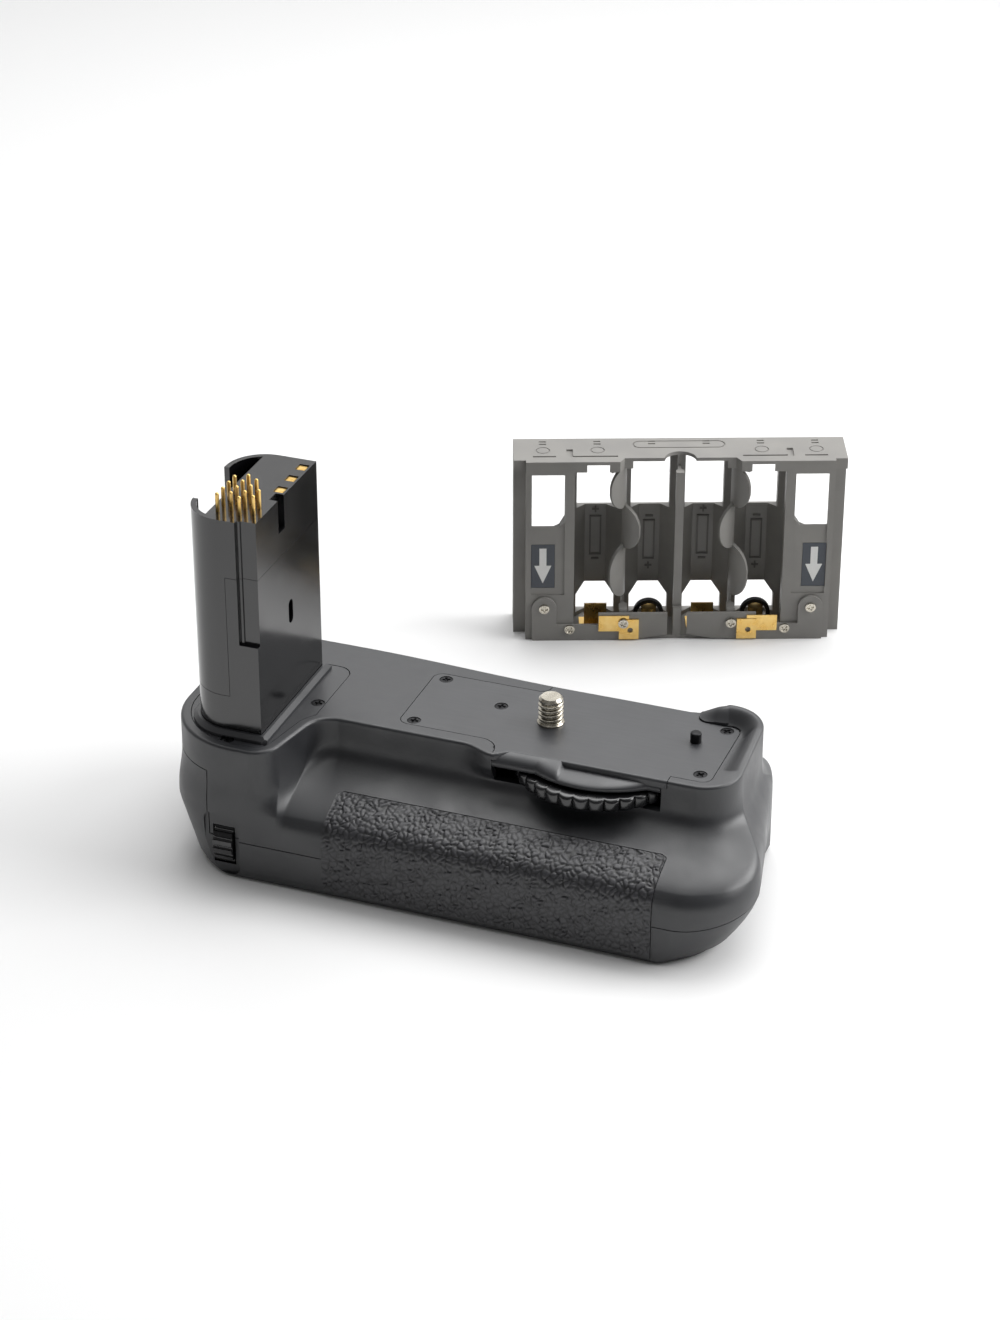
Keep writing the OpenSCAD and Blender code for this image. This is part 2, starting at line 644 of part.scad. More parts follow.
// Tooth outline: involute flanks between root and tip, thinned by a backlash.
pressure = 20;
backlash = 0.16;
flank_n = 5;
function involute(rb, r) = let (a = acos(min(1, rb / r))) tan(a) * 180 / PI - a;
module gear_2d(teeth, turn) {
    rp = gear_module * teeth / 2;
    rb = rp * cos(pressure);
    ra = rp + gear_module * 0.9;
    rr = rp - gear_module * 1.2;
    half = 90 / teeth - (backlash / 2 / rp) * 180 / PI + involute(rb, rp);
    flank = [for (k = [0 : flank_n - 1])
        let (r = mix(rb, ra, k / (flank_n - 1))) [r, half - involute(rb, r)]];
    tooth = concat([[rr, half]], flank, [for (f = reversed(flank)) [f[0], -f[1]]], [[rr, -half]]);
    polygon([for (t = [0 : teeth - 1], p = reversed(tooth))
        let (a = turn + 360 * t / teeth + p[1]) p[0] * [cos(a), sin(a)]]);
}
module screw_gear() color("#c7b27a") {
    translate([0, 0, gear_z]) linear_extrude(gear_t) difference() {
        gear_2d(gear_teeth, wheel_angle);
        circle(cam_screw_r);
    }
}

module thumb_wheel() color("#1a1a1c") translate([wheel_c[0], wheel_c[1], 0]) {
    hub_r = axle_r + 2.2;
    web_t = 1.6;
    rim_w = 4;
    groove_d = 1;
    groove_w = 0.8;
    bevel = 0.9;
    difference() {
        union() {
            translate([0, 0, wheel_z]) rotate_extrude() {
                polygon([[wheel_r - rim_w, 0], [wheel_r - bevel, 0], [wheel_r, bevel],
                    [wheel_r, wheel_t - bevel],
                    [wheel_r - bevel, wheel_t], [wheel_r - rim_w, wheel_t]]);
                translate([axle_r + run, 0]) square([wheel_r - rim_w - axle_r, web_t]);
                translate([axle_r + run, 0]) square([hub_r - axle_r, gear_top - wheel_z]);
            }
            translate([0, 0, gear_z]) linear_extrude(gear_t) difference() {
                gear_2d(gear_teeth, wheel_angle + 180 + 180 / gear_teeth);
                circle(axle_r + run);
            }
        }
        for (k = [0 : wheel_ribs - 1]) rotate(360 * (k + 0.5) / wheel_ribs)
            box([wheel_r - groove_d, -groove_w / 2, wheel_z - cut],
                [wheel_r + cut, groove_w / 2, wheel_top + cut]);
    }
}

module wheel_axle() color("#9a9a9c") {
    post(wheel_c, axle_r, axle_foot, plate_z + 1);
    post(wheel_c, axle_r + 1.2, axle_foot, wheel_z - 0.3);
}

module locating_pin() color("#161617") {
    dome = 0.4;
    post([pin_x, pin_y], pin_foot_r, plate_z + 0.6, deck_z);
    post([pin_x, pin_y], pin_r, deck_z - 0.5, deck_z + pin_h - dome);
    translate([pin_x, pin_y, deck_z + pin_h - dome]) cylinder(r1 = pin_r, r2 = pin_r - dome, h = dome);
}

// Tower
contact_pitch = 6.65;
contact_at = [for (k = [0 : 2]) [-tower_right - 1.6, tower_y[1] - 4.4 - k * contact_pitch]];
contact_size = [3.2, 3.2];
contact_drop = 1.4;
pin_rows = [4, 4, 4, 2];
pins_at = [for (r = [0 : 3], k = [0 : pin_rows[r] - 1])
    [tower_x[0] + 8.8 + r * pin_pitch_x, tower_y[0] + 4.4 + (k + (r % 2) / 2) * pin_pitch_y]];
pin_block_x = [pins_at[0][0] - 1.2, -tower_right - tower_wall - seam];
pin_block_y = [tower_y[0] + tower_wall + 1.6, tower_y[0] + 4.4 + 3.5 * pin_pitch_y + 2];
pin_block_h = 7;
cap_skin = 2;
cap_lip_x = -72;
cap_lip_z = 49;
pin_block_top = tower_top - cap_skin;

module tower_body() {
    notch_w = 5.2;
    notch_h = 8;
    difference() {
        union() {
            translate([0, 0, plate_z - 1]) linear_extrude(tower_h + plate_t + 1) tower_2d(0);
            translate([0, 0, plate_z - 0.95]) linear_extrude(0.95 - seam / 2) tower_2d(tower_flange);
        }
        translate([0, 0, inner_roof - cut])
            linear_extrude(pin_block_top - inner_roof + cut) tower_2d(-tower_wall);
        // pocket along the rounded side, open outwards in the middle
        translate([0, 0, tower_top - notch_h]) linear_extrude(big) intersection() {
            tower_2d(-1.4);
            translate([tower_x[0], tower_y[0]]) square([notch_w + 1.4, tower_w]);
        }
        box([tower_x[0] - cut, tower_y[0] + 9, tower_top - notch_h],
            [tower_x[0] + notch_w, tower_y[1] - 11, big]);
        // stepped front edge and side slot
        box([-tower_right - 4, tower_y[0] - cut, tower_top - groove_h], [big, tower_y[0] + 1.3, big]);
        box([-tower_right - 5, tower_y[0] - cut, tower_top - groove_h],
            [-tower_right - 3.6, tower_y[0] + 0.9, big]);
        box([-tower_right - 2.2, -19.4, tower_top - 9], [big, -15.6, big]);
        translate([-tower_right - tower_wall - cut, -13.8, tower_top - 33]) rotate([0, 90, 0])
            linear_extrude(tower_wall + 2 * cut) rounded_2d([-2.4, -0.8], [2.4, 0.8], 0.79);
        for (p = contact_at) translate([p[0], p[1], tower_top])
            cube([contact_size[0], contact_size[1], 2 * contact_drop], center = true);
        for (p = pins_at) post(p, signal_pin_r + 0.02, pin_block_top - cut, tower_top + cut);
    }
}
module cap_side(g) {
    box([-big, -big, deck_z + cap_seam + g], [big, big, big]);
    box([-big, -big, cap_lip_z + g], [cap_lip_x - g, big, deck_z + cap_seam + cut]);
}
module pocket_floor() {
    intersection() {
        translate([0, 0, tower_top - 9.6]) linear_extrude(1.6) tower_2d(-0.5);
        box([tower_x[0], tower_y[0], 0], [pin_block_x[0] - seam, tower_y[1], big]);
    }
    intersection() {
        translate([0, 0, tower_top - 9.6]) linear_extrude(9) tower_2d(-0.5);
        box([tower_x[0] + 6.6, tower_y[0], 0], [pin_block_x[0] - seam, tower_y[1], big]);
    }
}
module tower_shell() color("#141416") difference() {
    tower_body();
    cap_side(0);
}
module tower_cap() color("#141416") {
    intersection() {
        tower_body();
        cap_side(seam);
    }
    difference() {
        pocket_floor();
        for (p = pins_at) post(p, signal_pin_r + 0.02, 0, tower_top + cut);
    }
}
module pin_block() color("#26262a") difference() {
    box([pin_block_x[0], pin_block_y[0], pin_block_top - pin_block_h],
        [pin_block_x[1], pin_block_y[1], pin_block_top]);
    for (p = pins_at) post(p, signal_pin_r + 0.02, 0, tower_top);
}
module signal_pins() color("#d8b25a") for (p = pins_at) {
    post(p, signal_pin_r, pin_block_top - pin_block_h - 1, tower_top + signal_pin_h - signal_pin_r);
    translate([p[0], p[1], tower_top + signal_pin_h - signal_pin_r]) sphere(signal_pin_r);
}
module battery_contacts() color("#d8b25a") for (p = contact_at)
    translate([p[0], p[1], tower_top - contact_drop + 0.2])
        cube([contact_size[0] - 0.1, contact_size[1] - 0.1, 0.4], center = true);
module tower_collar() color("#2b2c30") {
    foot = 1.8;
    plinth = 2.8;
    difference() {
        union() {
            translate([0, 0, plate_z]) linear_extrude(plate_t - collar_drop) collar_2d(0);
            hull() {
                translate([0, 0, deck_z - 1]) linear_extrude(plinth - 1) tower_2d(foot, $fn = 32);
                translate([0, 0, deck_z - 1]) linear_extrude(plinth) tower_2d(foot - 1, $fn = 32);
            }
        }
        // the plinth's front corner is cut where the rim of the deck passes it
        translate([-tower_right + foot, tower_y[0] - foot, 0]) rotate(45)
            cube([1.6, 1.6, 4 * deck_z], center = true);
        translate([0, 0, plate_z - cut]) linear_extrude(big) tower_2d(seam);
        for (p = collar_screws_at) small_screw_hole(p, deck_z - collar_drop, 5);
    }
}
module collar_screws() color("#1c1c1e")
    for (p = collar_screws_at) small_screw(p, deck_z - collar_drop - 0.05, 5);

// Electronics
tower_board_y = -6;
module tower_board() color("#1f5a3a") difference() {
    box([tower_x[0] + 3, tower_board_y, board_z + board_t + 1],
        [-tower_right - 3, tower_board_y + board_t, pin_block_top - 14]);
    box([tower_x[0], tower_board_y - cut, deck_z + 20], [tower_x[0] + 6, tower_board_y + 3, deck_z + 30]);
}
module main_board() color("#1f5a3a") difference() {
    box([-79, -14.5, board_z], [-56.5, 12.6, board_z + board_t]);
    for (p = board_bosses) post(p, screw_r + seam, 0, big);
}
module board_connector() color("#d9d4c4") difference() {
    box([tower_x[0] + 5, tower_board_y - 2.4, board_z + board_t],
        [-tower_right - 4, tower_board_y + board_t + 2.4, board_z + board_t + 4.5]);
    box([tower_x[0] + 2, tower_board_y - 0.05, board_z + board_t + 0.95],
        [-tower_right, tower_board_y + board_t + 0.05, big]);
}
module board_chips() color("#17171a") for (c = [[-68.4, 6.5, 7], [-77, -1, 3.5], [-60.5, 1, 4]])
    translate([c[0], c[1], board_z - 0.5]) cube([c[2], c[2], 1], center = true);
module board_screws() color("#9a9a9c") for (p = board_bosses) {
    post(p, screw_r, board_z - 0.2, board_z + 5.5);
    post(p, screw_head_r, board_z - 1.1, board_z);
}

// Battery chamber, its contacts and the door
terminal_mid = [tray_w / 2 - 13.7, tray_w / 2 + 19.8];
contact_x = [for (u = terminal_mid) chamber_x[0] + tray_gap + u];
contact_z = (chamber_z[0] + chamber_z[1]) / 2;
module liner_2d(g, c) {
    polygon([[chamber_x[0] - g + c, chamber_y[0] - g], [chamber_x[1] + g - c, chamber_y[0] - g],
        [chamber_x[1] + g, chamber_y[0] - g + c], [chamber_x[1] + g, chamber_y[1]],
        [chamber_x[0] - g, chamber_y[1]],
        [chamber_x[0] - g, chamber_y[0] - g + c]]);
}
module battery_chamber() color("#3a3b3f") difference() {
    translate([0, 0, floor_t]) linear_extrude(chamber_z[1] + liner_t - floor_t) liner_2d(liner_t, 1.4);
    translate([0, 0, chamber_z[0]]) linear_extrude(chamber_z[1] - chamber_z[0]) union() {
        liner_2d(0, 0.6);
        translate([chamber_x[0], chamber_y[1] - cut]) square([chamber_x[1] - chamber_x[0], 2 * cut]);
    }
    for (x = contact_x) translate([x, chamber_y[0], contact_z]) cube([8, 4 * liner_t, 5], center = true);
}
module chamber_contacts() color("#d8b25a") for (x = contact_x) {
    leaf_t = 0.4;
    translate([x, chamber_y[0] - liner_t - leaf_t / 2, contact_z]) cube([10, leaf_t, 9], center = true);
    intersection() {
        translate([x, chamber_y[0] - liner_t, contact_z]) rotate([0, 90, 0])
            cylinder(r = 2, h = 7, center = true);
        translate([x, chamber_y[0] - liner_t + 5, contact_z]) cube([10, 10, 10], center = true);
    }
}
module power_flex() color("#b5702c") {
    t = 0.3;
    y = chamber_y[0] - liner_t - 0.4;
    x = chamber_x[0] - liner_t - 1.4;
    z = [contact_z - 3, contact_z + 3];
    tail = [-14, -10];
    box([x, y - t, z[0]], [contact_x[1] + 4, y, z[1]]);
    box([x, y - t, z[0]], [x + t, tail[1], z[1]]);
    box([x, tail[0], z[0]], [x + t, tail[1], board_z]);
    box([-58, tail[0], board_z - t], [x + t, tail[1], board_z]);
}
latch_x = door_x[0] + 9;
latch_z = (chamber_z[0] + door_top) / 2;
module battery_door() color("#2b2c30") difference() {
    union() {
        box([door_x[0], door_in, hinge_z], [door_x[1], base_back, door_top]);
        translate([door_x[0], hinge_y, hinge_z]) rotate([0, 90, 0])
            cylinder(r = barrel_r, h = door_x[1] - door_x[0]);
        for (x = [chamber_x[0] + 20, chamber_x[1] - 20])
            box([x, door_in - 1, hinge_z + 3], [x + 2, door_in + 0.2, door_top - 2]);
    }
    translate([0, hinge_y, hinge_z]) rotate([0, 90, 0])
        cylinder(r = hinge_pin_r + run, h = big, center = true);
    translate([door_x[1], base_back, -cut]) rotate(45) cube([1.6, 1.6, 2 * big], center = true);
    box([latch_x - 5 - latch_travel - clear, base_back - 0.7, latch_z - 4 - clear],
        [latch_x + 5 + clear, big, latch_z + 4 + clear]);
    box([latch_x - 2 - latch_travel - clear, 0, latch_z - 1.2 - clear],
        [latch_x + 2 + clear, big, latch_z + 1.2 + clear]);
}
module hinge_pin() color("#9a9a9c") translate([door_x[0] - lug_w, hinge_y, hinge_z]) rotate([0, 90, 0])
    cylinder(r = hinge_pin_r, h = door_x[1] - door_x[0] + 2 * lug_w - 0.4);
module door_latch() color("#1c1c1e") {
    pad_t = 1.2;
    bolt = [door_x[0] + 1.8, latch_x + 3];
    box([latch_x - 5, base_back - 0.7 + 0.1, latch_z - 4],
        [latch_x + 5, base_back - 0.7 + pad_t, latch_z + 4]);
    for (k = [-2 : 2]) translate([latch_x + 1.6 * k, base_back - 0.7 + pad_t, latch_z])
        cube([0.6, 0.8, 6], center = true);
    box([latch_x - 2, door_in - 0.6, latch_z - 1.2], [latch_x + 2, base_back, latch_z + 1.2]);
    box([bolt[0], door_in - 1.3, latch_z - 2], [bolt[1], door_in - 0.3, latch_z + 2]);
}
module tripod_bushing() color("#a9a6a0") difference() {
    union() {
        post(bush_c, bush_r, 0, tripod_depth + 1);
        post(bush_c, bush_r + 2, floor_t, floor_t + 1.6);
    }
    post(bush_c, tripod_r, -cut, tripod_depth);
}
module shell_screws() color("#1c1c1e") for (p = shell_screws_at) {
    post(p, screw_r, 0.4, parting_at(p) + shell_screw_hold);
    post(p, screw_head_r, 0.2, 1.1);
}

// Controls
module dial(c) translate(c) rotate([0, 90, 0]) difference() {
    cylinder(r = dial_r, h = dial_w, center = true);
    cylinder(r = dial_axle_r + run, h = big, center = true);
    for (k = [0 : dial_ribs - 1]) rotate(360 * k / dial_ribs)
        translate([dial_r, 0, 0]) cylinder(r = 0.6, h = big, center = true);
}
module dial_axle(c) translate(c) rotate([0, 90, 0])
    cylinder(r = dial_axle_r, h = dial_w + 2 * (clear + dial_lug_t), center = true);
module sub_command_dial() color("#161617") dial(sub_dial_c);
module main_command_dial() color("#161617") dial(main_dial_c);
module sub_dial_axle() color("#9a9a9c") dial_axle(sub_dial_c);
module main_dial_axle() color("#9a9a9c") dial_axle(main_dial_c);
lock_gap = 0.3;
lock_t = 2.4;
module shutter_lock() color("#1c1c1e") at_shutter() {
    difference() {
        union() {
            translate([0, 0, lock_gap]) cylinder(r = lock_r, h = lock_t);
            translate([0, 0, -wall - 0.6]) cylinder(r = sleeve_r, h = wall + 1);
            translate([0, 0, lock_gap]) box([lock_r - 1, -2, 0], [lock_r + 2, 2, lock_t - 0.6]);
        }
        translate([0, 0, -big / 2]) cylinder(r = shutter_r + run, h = big);
    }
}
module shutter_button() color("#2a2a2d") at_shutter() {
    top = lock_gap + lock_t + 0.6;
    translate([0, 0, -wall - 0.6]) cylinder(r = shutter_r, h = top + wall - 0.1);
    translate([0, 0, top - 0.7]) cylinder(r1 = shutter_r, r2 = shutter_r - 0.9, h = 0.7);
    translate([0, 0, -wall - 1.2]) cylinder(r = 1.6, h = 2);
}
module shutter_switch() color("#17171a") at_shutter() {
    translate([0, 0, switch_top - 1]) cylinder(r = 1.8, h = 1);
    translate([0, 0, switch_foot]) box([-4, -4, 0], [4, 4, 3.2]);
    translate([0, 0, switch_foot]) box([-4, 3, 0], [4, 9, 1.2]);
}
module af_button() color("#1c1c1e") translate(af_c) rotate([-90, 0, 0]) {
    proud = 1.2;
    translate([0, 0, -wall - 0.4]) cylinder(r = af_r, h = wall + 0.4 + proud - 0.5);
    translate([0, 0, proud - 0.5]) cylinder(r1 = af_r, r2 = af_r - 0.5, h = 0.5);
}
module af_switch() color("#17171a") translate(af_c) rotate([-90, 0, 0]) {
    top = -wall - 0.4 - button_travel - 0.25;
    translate([0, 0, top - 0.6]) cylinder(r = 1.6, h = 0.6);
    translate([-3, -3, top - 2.6]) cube([6, 6, 2.1]);
}

// Cell tray, drawn from its left front foot and stood on the floor: u along it, v into it, z up
front_v = 1;
flange_in = 3.4;
flange_v = 5.5;
tray_lip = 3.2;
bay_floor = 1;
top_skin = 1;
contact_t = 0.4;
tray_mid = tray_w / 2;
front_bays = [for (k = [-1.5 : 1 : 1.5]) tray_mid + k * cell_pitch];
back_bays = [for (k = [-2.5, 2.5]) tray_mid + k * cell_pitch];
cell_v = tray_t - cell_r - 0.9;
back_cell_v = front_v + 0.9 + cell_r;
bay_open = 13;
back_open = 11;
trough_z = [11, 35.7];
window_z = [35.7, tray_h - 4];
label_z = [16.4, 30];
rail_v = [0.1, front_v - seam];
rail_step = 5;
rail_top = 8.6;
rail_foot = 5.2;
rail_gap = 5.6;
bracket_z = 10.2;
bracket_r = 3.5;
terminal_w = [5.6, 5.8];
wall_u = [for (k = [-2, -1, 1, 2]) tray_mid + k * cell_pitch];
tray_screws_at = [[rail_foot + bracket_r, bracket_z], [wall_u[0], 3.6], [wall_u[1], 5.6], [wall_u[2], 5.6],
    [wall_u[3], 3.6], [tray_w - rail_foot - bracket_r, bracket_z]];

module at_tray() {
    translate([tray_x, tray_y, 0]) rotate(tray_turn) children();
}
module tray_plate(u, v, z) {
    box([u[0], v[0], z[0]], [u[1], v[1], z[1]]);
}
module tray_slab(v) {
    translate([0, v[1], 0]) rotate([90, 0, 0]) linear_extrude(v[1] - v[0]) children();
}
module tray_screw_holes() {
    for (p = tray_screws_at) translate([p[0], -cut, p[1]]) rotate([-90, 0, 0])
        cylinder(r = screw_r + seam, h = front_v + 4);
}
module mirrored_tray() {
    children();
    translate([tray_w, 0, 0]) mirror([1, 0, 0]) children();
}

// A bay has eight flats round its cell; its back is open above and below the trough.
module bay_2d() rotate(22.5) circle(cell_r / cos(22.5), $fn = 8);
module front_bay(u) {
    lower = bay_floor + 1.2;
    h = back_open / 2;
    translate([u, cell_v, bay_floor]) linear_extrude(tray_h - top_skin - bay_floor) bay_2d();
    tray_plate([u - bay_open / 2, u + bay_open / 2], [-cut, cell_v], [bay_floor, tray_h - tray_lip]);
    tray_plate([u - h, u + h], [cell_v, tray_t + cut], [trough_z[1], tray_h - tray_lip]);
    tray_slab([cell_v, tray_t + cut]) polygon([[u - h, lower], [u + h, lower], [u + h, trough_z[0] - 3],
        [u + h - 2.6, trough_z[0]], [u - h + 2.6, trough_z[0]], [u - h, trough_z[0] - 3]]);
}
module back_bay(u, side) {
    out = u + side * 3.2;
    inn = u - side * 6.1;
    translate([u, back_cell_v, bay_floor]) linear_extrude(tray_h - top_skin - bay_floor) bay_2d();
    tray_plate([u - bay_open / 2, u + bay_open / 2], [back_cell_v, tray_t + cut],
        [bay_floor, tray_h - top_skin]);
    tray_slab([-cut, back_cell_v]) polygon([[out, window_z[0]], [inn + side * 1.6, window_z[0]],
        [inn, window_z[0] + 2], [inn, window_z[1]], [out, window_z[1]]]);
    tray_plate([min(out, inn), max(out, inn)], [-cut, front_v + 0.35], [bracket_z + 4, window_z[0] + cut]);
    tray_plate([u - 3.4, u + 3.4], [-cut, front_v + 0.6], [label_z[0] - 0.1, label_z[1] + 0.1]);
}
// Spring tabs that hold the cells of two neighbouring bays, bent to one side and the other in turn.
module clip(u, side, z) {
    turn = side > 0 ? -38 : -142;
    translate([u, cell_v, z[0]]) linear_extrude(z[1] - z[0]) intersection() {
        difference() {
            circle(cell_r + 1.1);
            circle(cell_r + 0.1);
        }
        polygon([[0, 0], for (a = [-25, 0, 25]) 14 * [cos(turn + a), sin(turn + a)]]);
    }
}
module clip_wall(left, right) {
    clip(left, 1, [40.4, tray_h - tray_lip + 0.1]);
    clip(right, -1, [27.8, 40.2]);
    clip(left, 1, [12.6, 27.6]);
}
module top_marks() {
    deep = tray_h - 0.5;
    for (u = concat(front_bays, back_bays), v = [12.4, 14])
        tray_plate([u - 1, u + 1], [v, v + 0.7], [deep, tray_h + cut]);
    mirrored_tray() {
        tray_plate([tray_mid - 31.7, tray_mid - 29.9], [4.4, 9.4], [deep, tray_h + cut]);
        tray_plate([tray_mid - 31.7, tray_mid - 17.4], [4.4, 5.1], [deep, tray_h + cut]);
        tray_plate([5.4, 11.8], [4.4, 5.1], [deep, tray_h + cut]);
        for (u = [back_bays[0], front_bays[0]]) translate([u, 8.8, deep + 0.2]) difference() {
            cylinder(r = 2, h = cut);
            cylinder(r = 1.7, h = cut);
        }
    }
    translate([0, 0, deep + 0.2]) linear_extrude(cut) difference() {
        rounded_2d([tray_mid - 13, 10], [tray_mid + 13, 14.6], 2.2);
        rounded_2d([tray_mid - 12.6, 10.4], [tray_mid + 12.6, 14.2], 1.8);
    }
}
module tray_frame() color("#6f6e6c") at_tray() {
    difference() {
        union() {
            tray_plate([0, tray_w], [flange_v, tray_t], [0, tray_h]);
            tray_plate([flange_in, tray_w - flange_in], [front_v, tray_t], [0, tray_h]);
            tray_plate([0, tray_w], [front_v + 1.4, tray_t], [tray_h - tray_lip, tray_h]);
        }
        for (u = front_bays) front_bay(u);
        for (k = [0, 1]) back_bay(back_bays[k], 2 * k - 1);
        for (u = [wall_u[1], wall_u[2]])
            tray_plate([u - 2, u + 2], [-cut, cell_v - 2.4], [rail_top + 1, tray_h - tray_lip]);
        tray_plate([tray_mid - 2, tray_mid + 2], [-cut, front_v + 1.6], [rail_top + 1, tray_h - tray_lip]);
        // top front edge set back in the middle, with a finger notch
        translate([0, 0, tray_h - tray_lip - cut]) linear_extrude(tray_lip + 2 * cut) {
            polygon([[tray_mid - 18, -cut], [tray_mid + 18, -cut], [tray_mid + 15.6, front_v + 2.4],
                [tray_mid - 15.6, front_v + 2.4]]);
            translate([tray_mid, front_v + 2.2]) circle(4.4);
        }
        top_marks();
        tray_screw_holes();
    }
    clip_wall(front_bays[0], front_bays[1]);
    mirrored_tray() clip_wall(front_bays[0], front_bays[1]);
}
module rail_2d() {
    end = tray_mid - rail_gap / 2;
    polygon([[rail_foot, 0], [terminal_mid[0] - 8.6, 0], [terminal_mid[0] + 3, 0.3], [end, 1.8],
        [end, rail_top], [wall_u[0] + 8.2, rail_top], [wall_u[0] + 8.2, rail_step],
        [rail_foot + 2 * bracket_r, rail_step],
        [rail_foot + 2 * bracket_r, bracket_z], [rail_foot, bracket_z]]);
    translate([rail_foot + bracket_r, bracket_z]) circle(bracket_r);
}
module tray_rail() color("#6f6e6c") at_tray() difference() {
    mirrored_tray() tray_slab(rail_v) rail_2d();
    tray_screw_holes();
}
module tray_terminals() color("#d8b25a") at_tray() for (k = [0, 1]) difference() {
    u = terminal_mid[k];
    side = k == 0 ? -1 : 1;
    back = u + side * (terminal_w[0] / 2 + terminal_w[1]);
    union() {
        tray_plate([u - terminal_w[0] / 2, u + terminal_w[0] / 2], [rail_v[0] - 0.5, rail_v[0]], [0.5, 6.8]);
        tray_plate([min(u, back), max(u, back)], [rail_v[0] - 0.3, rail_v[0]], [3, 7.9]);
    }
    translate([u + 0.4, 0, 3.4]) rotate([90, 0, 0]) cylinder(r = 0.8, h = 4, center = true);
    tray_screw_holes();
}
module cell_contacts() color("#d8b25a") at_tray() {
    floor_z = [bay_floor, bay_floor + contact_t];
    for (u = front_bays) tray_plate([u - 4.6, u + 4.6], [cell_v - 3.4, cell_v + 3.4], floor_z);
    for (u = back_bays) tray_plate([u - 4.6, u + 4.6], [back_cell_v - 3.4, back_cell_v + 3.4], floor_z);
    for (u = [front_bays[0], front_bays[2]])
        tray_plate([u - 3.2, u + 3.2], [cell_v - 0.3, cell_v + 0.3], [bay_floor, 7.6]);
    for (u = [front_bays[1], front_bays[3]]) translate([u, cell_v, bay_floor]) cylinder(r = 2.2, h = 5.6);
    for (u = back_bays) translate([u, back_cell_v, bay_floor]) cylinder(r = 2.2, h = 2.4);
}
module contact_rings() color("#161617") at_tray() for (u = [front_bays[1], front_bays[3]])
    translate([u, cell_v, bay_floor + contact_t]) difference() {
        cylinder(r = 4.3, h = 7.2);
        translate([0, 0, -cut]) cylinder(r = 3.1, h = 7.2 + 2 * cut);
    }
module tray_screws() color("#b9b6b0") at_tray() for (k = [0 : len(tray_screws_at) - 1]) {
    p = tray_screws_at[k];
    seat = k == 2 || k == 3 ? rail_v[0] - 0.5 : rail_v[0];
    hold = k == 0 || k == 5 ? front_v + 0.75 : front_v + 3;
    translate([p[0], seat, p[1]]) rotate([90, 0, 0]) cylinder(r = 1.45, h = 0.5);
    translate([p[0], hold, p[1]]) rotate([90, 0, 0]) cylinder(r = screw_r, h = hold - seat + 0.2);
}
module tray_labels() color("#3b3f47") at_tray() for (u = back_bays)
    tray_plate([u - 3.3, u + 3.3], [front_v + 0.35, front_v + 0.6], label_z);

top_shell();
bottom_shell();
grip_rubber();
deck_plate();
deck_screws();
camera_screw();
screw_gear();
thumb_wheel();
wheel_axle();
locating_pin();
tower_shell();
tower_cap();
pin_block();
signal_pins();
battery_contacts();
tower_collar();
collar_screws();
tower_board();
main_board();
board_connector();
board_chips();
board_screws();
battery_chamber();
chamber_contacts();
power_flex();
battery_door();
hinge_pin();
door_latch();
tripod_bushing();
shell_screws();
sub_command_dial();
main_command_dial();
sub_dial_axle();
main_dial_axle();
shutter_lock();
shutter_button();
shutter_switch();
af_button();
af_switch();
tray_frame();
tray_rail();
tray_terminals();
cell_contacts();
contact_rings();
tray_screws();
tray_labels();
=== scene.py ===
"""Looks of a camera battery grip and its six-cell tray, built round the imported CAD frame.

Lengths in this file are millimetres in the CAD frame; MM turns them into Blender's metres.
"""

import math

import bpy
import numpy as np
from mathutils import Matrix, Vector


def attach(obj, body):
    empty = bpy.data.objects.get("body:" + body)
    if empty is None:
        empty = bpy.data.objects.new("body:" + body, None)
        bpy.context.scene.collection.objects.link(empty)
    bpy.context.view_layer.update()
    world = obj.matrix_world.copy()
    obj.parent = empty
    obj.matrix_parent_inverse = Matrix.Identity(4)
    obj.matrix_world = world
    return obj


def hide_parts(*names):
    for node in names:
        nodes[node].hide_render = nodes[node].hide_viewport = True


MM = 0.001
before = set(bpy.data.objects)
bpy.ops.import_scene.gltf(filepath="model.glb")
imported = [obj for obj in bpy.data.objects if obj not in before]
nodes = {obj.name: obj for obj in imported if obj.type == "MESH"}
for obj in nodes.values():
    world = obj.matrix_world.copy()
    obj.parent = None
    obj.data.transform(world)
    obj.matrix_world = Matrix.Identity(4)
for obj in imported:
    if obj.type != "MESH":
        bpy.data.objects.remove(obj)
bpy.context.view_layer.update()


# Meshes

def grid_faces(rows, columns, wrap_rows=False, wrap_columns=False):
    """Quads of a rows by columns grid of points, numbered row by row, closed where a direction wraps."""
    r = np.arange(rows if wrap_rows else rows - 1)[:, None]
    c = np.arange(columns if wrap_columns else columns - 1)[None, :]
    r2, c2 = (r + 1) % rows, (c + 1) % columns
    quads = np.stack([r * columns + c, r * columns + c2, r2 * columns + c2, r2 * columns + c], -1)
    return quads.reshape(-1, 4)


def make_object(name, points, faces):
    """Object at the origin from points in millimetres and a list of faces."""
    mesh = bpy.data.meshes.new(name)
    mesh.from_pydata((np.asarray(points, float).reshape(-1, 3) * MM).tolist(), [], [list(f) for f in faces])
    mesh.update()
    thing = bpy.data.objects.new(name, mesh)
    bpy.context.scene.collection.objects.link(thing)
    return thing


def finish_piece(thing, body, material, sharp_deg=30, stands_for=()):
    """Smooth shading up to an edge angle, the material, the body it rides on and what it stands for."""
    thing.data.polygons.foreach_set("use_smooth", np.ones(len(thing.data.polygons), bool))
    thing.data.set_sharp_from_angle(angle=math.radians(sharp_deg))
    thing.data.materials.clear()
    thing.data.materials.append(material)
    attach(thing, body)
    if stands_for:
        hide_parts(*stands_for)
    return thing


def even_shading(thing):
    """Large flat faces lead the shading of the narrow ones that meet them."""
    even = thing.modifiers.new("even", "WEIGHTED_NORMAL")
    even.keep_sharp = True


